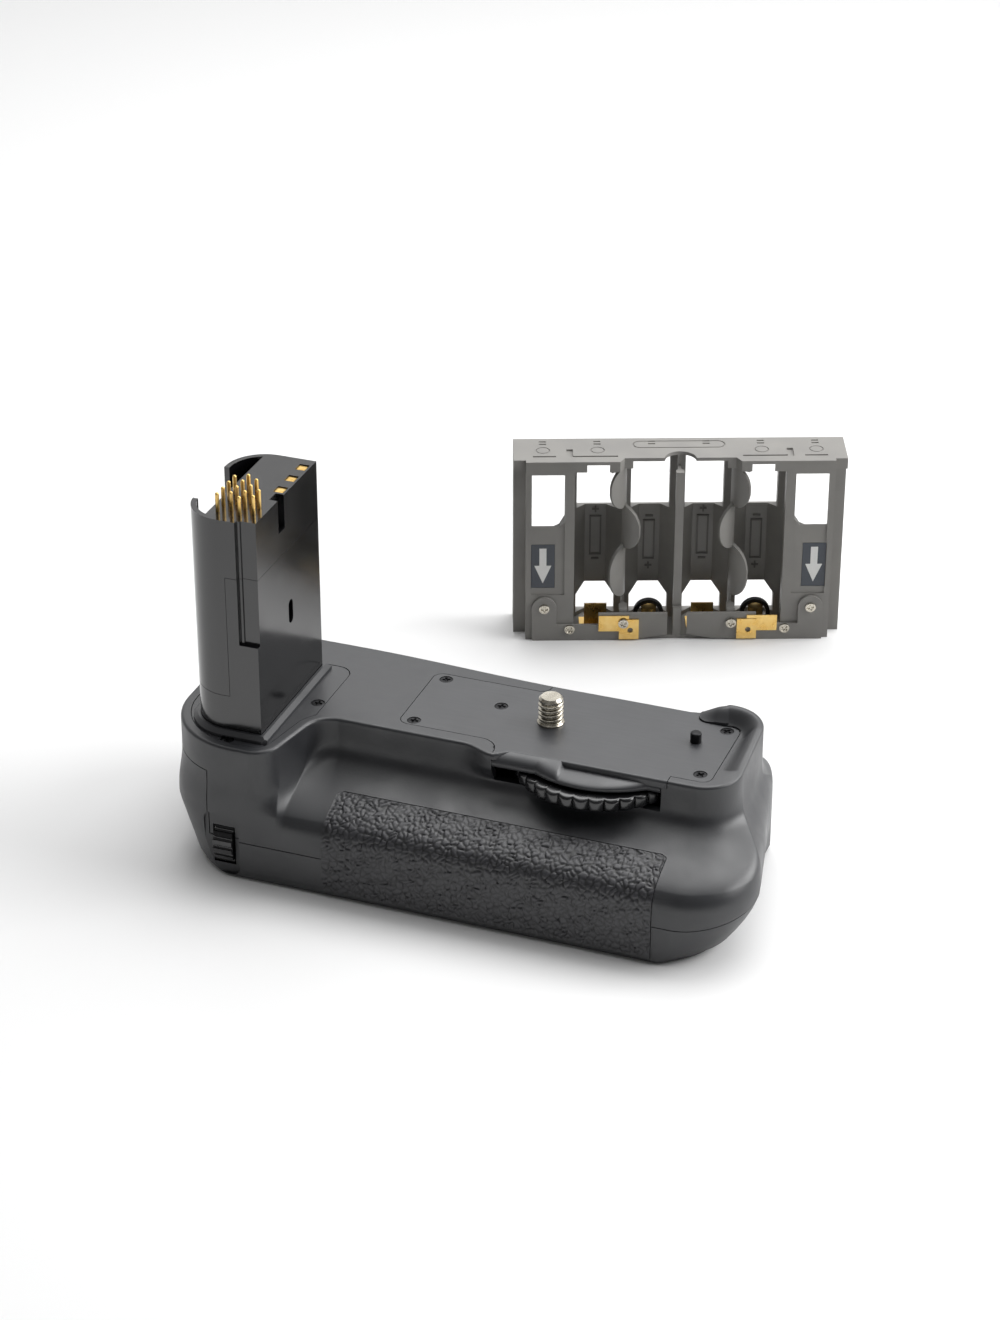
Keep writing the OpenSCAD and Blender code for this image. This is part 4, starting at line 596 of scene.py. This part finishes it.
def housing():
    """Upper and lower shell: the outer form less the hollow, the parting and every opening."""
    solid = ring_stack(housing_rings())
    inside = ring_stack(hollow_rings())
    pocket = panel_patch(SEAM, -1.1, 4.0, 40, 40)[:2]
    controls = [rod(c, (1, 0, 0), DIAL_R + 0.4, DIAL_W + 0.8) for c in (SUB_DIAL_C, MAIN_DIAL_C)]
    controls.append(prism_to_front(rounded(BEZEL_LOW, BEZEL_HIGH, BEZEL_R), BEZEL_Y, 80))
    controls.append(rod(AF_C, (0, 1, 0), AF_BORE_R, 12))
    plate_bed = prism(plate_outline(SEAM + 0.06), PLATE_Z, 60)
    gear_well = block((-9.5, -14.0, 33.0), (24.3, 9.5, 36.5))
    window = block((GAP_X[0], -60, WHEEL_Z - 0.7), (34.7, -13.6, 36.5))
    wheel_room = rod((*WHEEL_C, (WHEEL_Z + WHEEL_TOP) / 2), (0, 0, 1), WHEEL_R + 0.5, WHEEL_TOP - WHEEL_Z + 1.2, 96)
    collar_bed = prism(collar_outline(SEAM + 0.05), PLATE_Z, 60)
    shaft = prism(tower_outline(0.15), 30, 60)
    top = carve("top_housing", solid, [inside, *lower_side(SEAM), pocket, plate_bed, gear_well, window, wheel_room,
                                       collar_bed, shaft, *controls])
    doorway = block((DOOR_X[0] - 0.4, 21.9, -5), (DOOR_X[1] + 0.4, 60, DOOR_TOP + 0.4))
    bush = rod(BUSH_C, (0, 0, 1), BUSH_R, 8)
    button = rod(SHUTTER_C, SHUTTER_N, SHUTTER_BORE_R, 14)
    sinks = [rod((*c, 0), (0, 0, 1), 1.9, 2.4, 32) for c in SHELL_SCREWS]
    low = carve("bottom_housing", solid, [inside, *upper_side(SEAM), pocket, doorway, bush, button, *controls, *sinks])
    even_shading(finish_piece(top, "grip", moulded_abs, 60, ("top_shell",)))
    even_shading(finish_piece(low, "grip", moulded_abs, 60, ("bottom_shell",)))


def pebbles(u, v):
    """Hide grain over surface lengths in mm, 0 in a crease and 1 on a pebble: how much farther the second nearest of
    scattered points is than the nearest, after a slow bend of the lengths."""
    u, v = u + 0.35 * np.sin(1.7 * v + 0.4 * u), v + 0.3 * np.sin(1.3 * u - 0.6 * v)
    step, count = (1.9, 1.3), (97, 61)
    shake = np.random.default_rng(5).random((*count, 2))
    i, j = np.floor(u / step[0]).astype(int), np.floor(v / step[1]).astype(int)
    near = np.full((*u.shape, 2), 9.0)
    for di in range(-2, 3):
        for dj in range(-2, 3):
            p = shake[(i + di) % count[0], (j + dj) % count[1]]
            gap = np.hypot((i + di + p[..., 0]) * step[0] - u, (j + dj + p[..., 1]) * step[1] - v)
            near = np.sort(np.concatenate([near, gap[..., None]], -1), -1)[..., :2]
    return smooth((near[..., 1] - near[..., 0]) / 0.5)


def grain_dent(u, v):
    """Depth of the creases: up to 0.4 mm, shallower in slow patches, and none at the panel's edge."""
    patch = 0.68 + 0.32 * np.sin(0.9 * u + 1.3 * np.sin(0.7 * v)) * np.sin(1.1 * v + 0.5 * u)
    edge = np.minimum(np.minimum(u - u[:, :1], u[:, -1:] - u), np.minimum(v - v[:1], v[-1:] - v))
    return 0.4 * patch * (1 - pebbles(u, v)) * smooth(edge / 0.6)


def grained_rubber():
    """Moulded rubber: a fine tooth on the pebbles, and painted shade in the creases: the colour goes darker where the
    relief goes down into a crease.
    """
    made, tree, shader = new_material("grained_rubber", Roughness=0.44, Specular_IOR_Level=0.75)
    place = add(tree, "ShaderNodeTexCoord").outputs["Object"]
    relief = add(tree, "ShaderNodeAttribute", attribute_name="relief")
    tone = add(tree, "ShaderNodeValToRGB", {"Fac": relief.outputs["Fac"]})
    # Painted shade: the crease colour is near black and the pebble colour a dark grey.
    tone.color_ramp.elements[0].color, tone.color_ramp.elements[1].color = linear("#0e0e10"), linear("#343438")
    tree.links.new(tone.outputs["Color"], shader.inputs["Base Color"])
    fine = add(tree, "ShaderNodeTexNoise", {"Vector": place, "Scale": per_mm(0.45), "Detail": 2.0})
    tooth = add(tree, "ShaderNodeBump", {"Height": fine.outputs["Fac"], "Strength": 0.6, "Distance": 0.06 * MM})
    tree.links.new(tooth.outputs["Normal"], shader.inputs["Normal"])
    return made


def rubber_panel():
    """Grained rubber panel of the front, its grain real relief that is also kept as an attribute for the painted shade
    of its creases.
    """
    points, faces, uv = panel_patch(0.0, -0.9, 0.25, 360, 96, grain_dent)
    thing = make_object("rubber_panel", points, faces)
    layer = thing.data.attributes.new("relief", "FLOAT", "POINT")
    layer.data.foreach_set("value", pebbles(uv[:, 0], uv[:, 1]))
    finish_piece(thing, "grip", grained_rubber(), 60, ("grip_rubber",))


def gear_outline(teeth, module, turn):
    """Involute gear outline, 20 degree flanks thinned by a backlash, as in the CAD."""
    rp, press = module * teeth / 2, math.radians(20)
    rb, ra, rr = rp * math.cos(press), rp + 0.9 * module, rp - 1.2 * module
    involute = lambda r: np.tan(np.arccos(np.minimum(1, rb / r))) - np.arccos(np.minimum(1, rb / r))
    half = math.pi / 2 / teeth - 0.08 / rp + involute(rp)
    r = np.linspace(rb, ra, 5)
    radius = np.r_[rr, r, r[::-1], rr]
    angle = np.r_[half, half - involute(r), -(half - involute(r))[::-1], -half]
    a = np.concatenate([turn + 2 * math.pi * t / teeth + angle[::-1] for t in range(teeth)])
    q = np.tile(radius[::-1], teeth)
    return np.c_[q * np.cos(a), q * np.sin(a)]


def tightening_wheel():
    """Wheel: a rim whose radius swells as a bead between narrow grooves, then its web, hub and gear."""
    ribs, steps, depth, edge = 34, 24, 1.05, 1.0
    around = ribs * steps
    bead = np.sin(np.pi * ((np.arange(around) / steps + 0.5) % 1)) ** 0.55
    a = np.radians(np.linspace(-90, 90, 9))
    half = (WHEEL_TOP - WHEEL_Z) / 2
    bulge = np.r_[-3.4, -edge + edge * np.cos(a[:5]), -edge + edge * np.cos(a[4:]), -3.4]
    rise = np.r_[-half, -half + edge + edge * np.sin(a[:5]), half - edge + edge * np.sin(a[4:]), half]
    t = np.arange(around) / around * 2 * np.pi
    reach = np.clip((bulge + 1.4) / 1.4, 0, 1)
    radius = WHEEL_R + bulge[None, :] - depth * (1 - bead)[:, None] * reach[None, :]
    mid = (WHEEL_Z + WHEEL_TOP) / 2
    rim = np.stack([WHEEL_C[0] + radius * np.cos(t)[:, None], WHEEL_C[1] + radius * np.sin(t)[:, None],
                    np.broadcast_to(mid + rise, radius.shape)], -1)
    teeth = gear_outline(22, 0.7, math.radians(-16.7 + 180 + 180 / 22)) + WHEEL_C
    parts = [(rim, grid_faces(around, len(rise), wrap_rows=True, wrap_columns=True)[:, ::-1].tolist()),
             rod((*WHEEL_C, WHEEL_Z + 0.8), (0, 0, 1), WHEEL_R - 3.2, 1.6, 96),
             rod((*WHEEL_C, 33.0), (0, 0, 1), 4.2, 2.4, 48), prism(teeth, 34.1, 35.6)]
    finish_piece(gather("tightening_wheel", parts), "wheel", hard_rubber, 50, ("thumb_wheel",))


def deck_pin():
    """Locating pin as turned rings: a straight side, a rounded edge and a flat top."""
    around = 48
    t = np.arange(around) * 2 * np.pi / around
    profile = [(PIN_R, 37.2), (PIN_R, 40.2), (1.33, 40.45), (1.15, 40.6), (0.02, 40.6)]
    rings = [np.c_[PIN_C[0] + r * np.cos(t), PIN_C[1] + r * np.sin(t), np.full(around, z)] for r, z in profile]
    pin = make_object("deck_pin", *ring_stack(rings))
    finish_piece(pin, "grip", black_oxide, 50, ("locating_pin",))


def camera_screw_thread():
    """Quarter-inch screw: a collar, a thread as a ridge that climbs one pitch of 1.27 mm a turn, and a bevel."""
    major, minor, pitch, collar_r = 3.175, 2.45, 1.27, 3.45
    foot, low, fade_out, high, tip = 38.05, 38.7, 44.5, 45.5, 0.6
    around, up = 96, 150
    t = np.arange(around) / around * 2 * np.pi
    z = np.linspace(low, high - tip, up)
    phase = (z[None, :] / pitch - t[:, None] / (2 * np.pi)) % 1
    ridge = smooth((0.5 - np.abs(phase - 0.5)) / 0.42)
    fade = smooth((z - low) / 0.7) * smooth((fade_out - z) / 0.6)
    radius = major - 0.12 + (0.12 - (major - minor) * (1 - ridge)) * fade[None, :]
    foot_r = np.array([collar_r, collar_r, collar_r - 0.25])
    foot_z = np.array([foot, 38.45, low])
    top_r = np.array([major - tip - 0.1, 0.001])
    top_z = np.array([high, high])
    r = np.concatenate([np.tile(np.r_[0.001, foot_r], (around, 1)), radius, np.tile(top_r, (around, 1))], 1)
    zz = np.r_[foot, foot_z, z, top_z]
    points = np.stack([r * np.cos(t)[:, None], r * np.sin(t)[:, None], np.broadcast_to(zz, r.shape)], -1)
    faces = grid_faces(around, len(zz), wrap_rows=True)[:, ::-1]
    thing = make_object("camera_screw_thread", points, faces)
    finish_piece(thing, "screw", nickel_plate, 35, ("camera_screw",))


def cross_head(centre, axis, across, radius, depth=0.7, sink=0.5):
    """Screw head: a disc on polar rings, its top lowered along two crossing bars, its side closed below."""
    axis, across = np.asarray(axis, float), np.asarray(across, float)
    third = np.cross(axis, across)
    around = 64
    t = np.arange(around) / around * 2 * np.pi
    r = np.r_[np.linspace(0.02, 0.82, 14), 0.93, 1.0] * radius
    x, y = r[None, :] * np.cos(t)[:, None], r[None, :] * np.sin(t)[:, None]
    bar = 0.15 * radius

    def slit(a, b):
        """One bar of the cross: 1 inside it, with soft sides and ends."""
        return smooth((bar * 1.5 - np.abs(a)) / (bar * 0.6)) * smooth((0.68 * radius - np.abs(b)) / (0.14 * radius))

    h = -sink * np.maximum(slit(x, y), slit(y, x)) - 0.12 * (r / radius)[None, :] ** 6
    x = np.concatenate([x, x[:, -1:], x[:, :1]], 1)
    y = np.concatenate([y, y[:, -1:], y[:, :1]], 1)
    h = np.concatenate([h, np.full((around, 2), -depth)], 1)
    points = np.asarray(centre) + x[..., None] * across + y[..., None] * third + h[..., None] * axis
    return points.reshape(-1, 3), grid_faces(around, x.shape[1], wrap_rows=True)[:, ::-1].tolist()


def black_screws():
    """Flush screws of the deck plate and of the collar, each turned a little further than the one before."""
    for name, stands_for, places, sunk, turn in (("plate_screw_heads", "deck_screws", PLATE_SCREWS, 0.04, 0.4),
                                                 ("collar_screw_heads", "collar_screws", COLLAR_SCREWS, 0.12, 0.7)):
        heads = [cross_head((x, y, DECK_Z - sunk), (0, 0, 1), (math.cos(turn * k), math.sin(turn * k), 0), HEAD_R)
                 for k, (x, y) in enumerate(places)]
        finish_piece(gather(name, heads), "grip", black_oxide, 40, (stands_for,))


def deck_plate():
    """Plate of the deck cut from the housing's own form, with the sinks of its screws and the holes of screw and pin.
    Its top is a hair under the deck, so that no two faces lie in one plane."""
    sinks = [rod((x, y, DECK_Z), (0, 0, 1), SINK_R, 1.6, 40) for x, y in PLATE_SCREWS]
    holes = [rod((0, 0, DECK_Z), (0, 0, 1), 3.3, 8, 48), rod((*PIN_C, DECK_Z), (0, 0, 1), PIN_R + 0.06, 2, 32)]
    slab = prism(plate_outline(0.0), PLATE_Z, DECK_Z - 0.002)
    plate = carve("deck_plate_top", slab, sinks + holes, ring_stack(housing_rings()))
    even_shading(finish_piece(plate, "grip", worn_abs, 32, ("deck_plate",)))


def wheel_hood():
    """Hood over the wheel: quarter ellipses that roll from the deck to a lip along a circle and a short step."""
    step_x, right, edge_z, under_z = 8.6, 34.5, 35.2, 34.65
    x = np.unique(np.r_[np.linspace(-8.25, step_x, 40), np.linspace(step_x, 10.2, 8), np.linspace(10.2, right, 56)])
    circle = 3 - np.sqrt(26.0 ** 2 - (x - 15) ** 2)
    step = 1 - smooth((x - step_x) / 1.4)
    lip = np.minimum(np.minimum(circle, -DECK_FRONT - 0.3), -DECK_FRONT - 0.3 - 2.5 * step)
    top = 36.6 + 1.35 * step
    start = -DECK_FRONT + 1.2 * np.ones_like(x)
    turn = np.radians(np.linspace(0, 90, 12))[None, :]
    y = start[:, None] + (lip - start)[:, None] * np.sin(turn)
    z = edge_z + (top - edge_z)[:, None] * np.cos(turn)
    y = np.concatenate([y, (lip + 0.15)[:, None], start[:, None]], 1)
    z = np.concatenate([z, np.full((len(x), 2), under_z)], 1)
    rings = np.stack([np.broadcast_to(x[:, None], y.shape), y, z], -1)
    thing = make_object("wheel_hood", *ring_stack(rings))
    finish_piece(thing, "grip", satin_abs, 40)


def tower_pieces():
    """Tower with broken edges, the cover round its foot, and its three pads with the rim that closes their slots."""
    oval = prism_along_x(rounded((-15.1, 61.3), (-12.5, 67.7), 1.29), -66.3, -63)
    softened("tower_shell", "grip", polished_polycarbonate, 0.3, [oval])
    softened("tower_cap", "grip", polished_polycarbonate, 0.3)
    softened("tower_collar", "grip", moulded_abs)
    sinks = [rod((x, y, DECK_Z), (0, 0, 1), SINK_R, 3, 40) for x, y in COLLAR_SCREWS]
    slab = prism(collar_outline(-0.02), DECK_Z - 0.7, DECK_Z - 0.05)
    cover = carve("collar_cover", slab, [prism(tower_outline(1.82), 30, 60), *sinks])
    even_shading(finish_piece(cover, "grip", moulded_abs, 32))
    places = [TOWER_Y[1] - 4.4 - 6.65 * k for k in range(3)]
    pads = [block((-67.05, y - 1.5, 96.2), (-64.85, y + 1.5, 97.15)) for y in places]
    finish_piece(gather("contact_pads", pads), "grip", gold_plate, 30, ("battery_contacts",))
    rims = [block((-64.4, y - 1.6, 96.1), (TOWER_X[1], y + 1.6, TOWER_TOP)) for y in places]
    finish_piece(gather("contact_rims", rims), "grip", polished_polycarbonate, 30)


# Cell tray: local places run along the tray (u), into it (v) and up (z)
TRAY_W, TRAY_H, TRAY_T, TRAY_TURN = 93.0, 55.8, 16.4, math.radians(21.4)
CELL_PITCH, CELL_R = 15.3, 7.3
CELL_V = TRAY_T - CELL_R - 0.9
TRAY_AT = (-47.3, 101.2)
BAYS = [TRAY_W / 2 + (k - 1.5) * CELL_PITCH for k in range(4)]


def on_tray(points):
    """Tray places turned and moved to where the tray stands."""
    p = np.asarray(points, float)
    c, s = math.cos(TRAY_TURN), math.sin(TRAY_TURN)
    u, v, z = p[..., 0], p[..., 1], p[..., 2]
    return np.stack([TRAY_AT[0] + u * c - v * s, TRAY_AT[1] + u * s + v * c, z], -1)


def tray_solid(shape):
    """A closed shape given in tray places, moved onto the tray."""
    return on_tray(shape[0]), shape[1]


def label_arrows():
    """White arrows that point down on the two labels: a shaft and a head as one flat outline."""
    arrow = np.array([[-1.0, 5.6], [-1.0, 0.2], [-2.4, 0.2], [0, -5.4], [2.4, 0.2], [1.0, 0.2], [1.0, 5.6]])
    parts = []
    for u in (TRAY_W / 2 - 2.5 * CELL_PITCH, TRAY_W / 2 + 2.5 * CELL_PITCH):
        points, faces = prism(arrow, 0, 0.06)
        local = np.c_[points[:, 0] + u, 1.36 - points[:, 2], points[:, 1] + 23.2]
        parts.append((on_tray(local), faces))
    finish_piece(gather("label_arrows", parts), "tray", white_ink, 30)


def tray_screw_heads():
    """Bright cross-head screws on the front of the tray."""
    places = [(8.7, 10.2), (15.9, 3.6), (31.2, 5.6), (61.8, 5.6), (77.1, 3.6), (84.3, 10.2)]
    c, s = math.cos(TRAY_TURN), math.sin(TRAY_TURN)
    heads = []
    for k, (u, z) in enumerate(places):
        v = -0.45 if 4 < z < 9 else 0.05
        across = (c * math.cos(k), s * math.cos(k), math.sin(k))
        heads.append(cross_head(on_tray([u, v - 0.45, z]), (s, -c, 0), across, 1.45, 0.6, 0.4))
    finish_piece(gather("tray_screw_heads", heads), "tray", nickel_plate, 40, ("tray_screws",))


def cell_marks():
    """Moulded outlines of the cells on the backs of the front bays: a frame, a plus and a minus, in a grey a tone
    darker as painted shade.
    """
    bars = [(-1.7, -1.25, -7, 5.5), (1.25, 1.7, -7, 5.5), (-1.7, 1.7, 5.05, 5.5), (-1.7, 1.7, -7, -6.55),
            (-1.0, 1.0, -9.3, -8.8), (-0.25, 0.25, -10.1, -8.0), (-1.1, 1.1, 6.5, 7.0)]
    parts = []
    for k, u in enumerate(BAYS):
        flip = 1 if k % 2 else -1
        for u0, u1, z0, z1 in bars:
            low, high = sorted((25.2 + flip * z0, 25.2 + flip * z1))
            parts.append(tray_solid(block((u + u0, 15.15, low), (u + u1, 15.6, high))))
    finish_piece(gather("cell_marks", parts), "tray", painted_shade_grey_abs, 30)


def sector(u, turn, low, high, inner, outer, rounding):
    """Bent tab: a strip of a ring about a cell, whose height falls to its tip along a rounded curve."""
    rings = []
    for t in np.linspace(0, 1, 25):
        a = math.radians(turn + 26 - 52 * t if turn > -90 else turn - 26 + 52 * t)
        half = (high - low) / 2 * (1 - rounding * t ** 3.2) ** 0.5
        mid = (low + high) / 2
        near, far = (np.array([u + r * math.cos(a), CELL_V + r * math.sin(a)]) for r in (inner, outer))
        ring = [[*near, mid - half], [*far, mid - half], [*far, mid + half], [*near, mid + half]]
        rings.append(ring[::-1] if turn < -90 else ring)
    return ring_stack(np.array(rings))


def spring_tabs():
    """Where the clips of the front bays stand: the cell's place, the way they bend and their height."""
    left, right = BAYS[:2]
    half = [(left, -38, 40.4, TRAY_H - 3.4), (right, -142, 27.8, 40.2), (left, -38, 12.6, 27.6)]
    return half + [(TRAY_W - u, -180 - turn, low, high) for u, turn, low, high in half]


def tab_solids(spare, inner, outer, rounding):
    """The clips of the front bays, longer by a spare length at both ends, between two distances from the cell."""
    return [tray_solid(sector(u, turn, low - spare, high + spare, CELL_R + inner, CELL_R + outer, rounding))
            for u, turn, low, high in spring_tabs()]


def ring_arches():
    """Black collars of two contacts: half rings that stand across the bay on short feet."""
    outer, inner, foot, middle = 4.3, 3.2, 1.45, 3.9
    a = np.radians(np.linspace(180, 0, 33))
    over = np.c_[outer * np.cos(a), middle + outer * np.sin(a)][::-1]
    under = np.c_[inner * np.cos(a), middle + inner * np.sin(a)]
    outline = np.concatenate([[[outer, foot]], over, [[-outer, foot], [-inner, foot]], under, [[inner, foot]]])
    parts = []
    for u in (BAYS[1], BAYS[3]):
        points, faces = prism(outline, 0, 1.6)
        parts.append((on_tray(np.c_[points[:, 0] + u, CELL_V + 2.2 - points[:, 2], points[:, 1]]), faces))
    finish_piece(gather("ring_arches", parts), "tray", black_nylon, 40, ("contact_rings",))


def tray_dress():
    """Tray frame and rail with broken edges, leaf-shaped clips, and webs that close the sides by the outer bays."""
    softened("tray_frame", "tray", grey_abs, 0.25, tab_solids(0.02, 0.06, 1.14, 0))
    leaves = tab_solids(0.4, 0.1, 1.1, 0.96)
    finish_piece(gather("spring_leaves", leaves), "tray", grey_abs, 40)
    softened("tray_rail", "tray", grey_abs, 0.2)
    sides = (0.6, 3.6), (TRAY_W - 3.6, TRAY_W - 0.6)
    webs = [tray_solid(block((u0, 5.52, 0.6), (u1, 5.9, 52.6))) for u0, u1 in sides]
    finish_piece(gather("tray_webs", webs), "tray", grey_abs, 30)


# Stage, light and camera

FLOOR_HALF = 3000
# Name, place, width and depth in millimetres, and watts
LAMPS = (("back_box", (0, 450, 800), (900, 600), 5.0),
         ("right_box", (700, 300, 500), (600, 500), 6.6),
         ("top_box", (-100, -60, 900), (700, 500), 0.9))
LAMP_AIM = Vector((0, 0, 20))
CAMERA_AT, CAMERA_TILT, CAMERA_SIDE = Vector((237.9, -672.6, 452.8)), math.radians(29.1), math.radians(20.5)


def place_in_scene(name, data, place, way):
    """Lamp or camera at a place in millimetres, looking a given way."""
    holder = bpy.data.objects.new(name, data)
    bpy.context.scene.collection.objects.link(holder)
    holder.location = place * MM
    holder.rotation_euler = way.to_track_quat("-Z", "Y").to_euler()
    return holder


def paper_floor():
    """Wide floor of white paper, which the camera and gloss see a tone lighter than the light it throws back."""
    h = FLOOR_HALF
    floor = make_object("floor", [[-h, -h, 0], [h, -h, 0], [h, h, 0], [-h, h, 0]], [[0, 1, 2, 3]])
    paper, tree, shader = new_material("studio_paper", Roughness=0.9, Specular_IOR_Level=0.1)
    path = add(tree, "ShaderNodeLightPath").outputs
    seen = path["Is Camera Ray"]
    for ray in ("Is Glossy Ray", "Is Transmission Ray"):
        seen = add(tree, "ShaderNodeMath", {0: seen, 1: path[ray]}, operation="MAXIMUM").outputs["Value"]
    tones = {"Factor": seen, "A": linear("#c6c6c5"), "B": linear("#f0f0f0")}
    tone = add(tree, "ShaderNodeMix", tones, data_type="RGBA")
    tree.links.new(tone.outputs["Result"], shader.inputs["Base Color"])
    floor.data.materials.append(paper)


def sky_light():
    """White sky that is dim in front and brighter towards the back and above."""
    world = bpy.data.worlds.new("studio")
    bpy.context.scene.world = world
    world.use_nodes = True
    tree = world.node_tree
    sky = tree.nodes["Background"]
    sky.inputs["Color"].default_value = linear("#ffffff")
    look = add(tree, "ShaderNodeTexCoord").outputs["Generated"]
    facing = add(tree, "ShaderNodeVectorMath", {0: look, 1: (-0.10, 0.86, 0.50)}, operation="DOT_PRODUCT")
    strength = add(tree, "ShaderNodeMapRange", {"Value": facing.outputs["Value"], "From Min": 0.0, "From Max": 0.9,
                                                "To Min": 0.13, "To Max": 0.86}, interpolation_type="SMOOTHSTEP")
    tree.links.new(strength.outputs["Result"], sky.inputs["Strength"])


def stage():
    """Floor, sky, three soft boxes that look at the grip, and the photograph's camera."""
    paper_floor()
    sky_light()
    for name, place, size, power in LAMPS:
        lamp = bpy.data.lights.new(name, "AREA")
        lamp.shape, lamp.size, lamp.size_y, lamp.energy = "RECTANGLE", size[0] * MM, size[1] * MM, power
        place_in_scene(name, lamp, Vector(place), LAMP_AIM - Vector(place))
    camera = bpy.data.cameras.new("camera")
    camera.lens, camera.sensor_width, camera.clip_end = 90.0, 36.0, 20
    level_way = math.cos(CAMERA_TILT)
    way = Vector((-math.sin(CAMERA_SIDE) * level_way, math.cos(CAMERA_SIDE) * level_way, -math.sin(CAMERA_TILT)))
    bpy.context.scene.camera = place_in_scene("camera", camera, CAMERA_AT, way)
    bpy.context.scene.view_settings.view_transform = "Standard"


# Build

housing()
rubber_panel()
deck_pin()
camera_screw_thread()
tightening_wheel()
black_screws()
deck_plate()
wheel_hood()
tower_pieces()
label_arrows()
tray_screw_heads()
cell_marks()
ring_arches()
tray_dress()
stage()
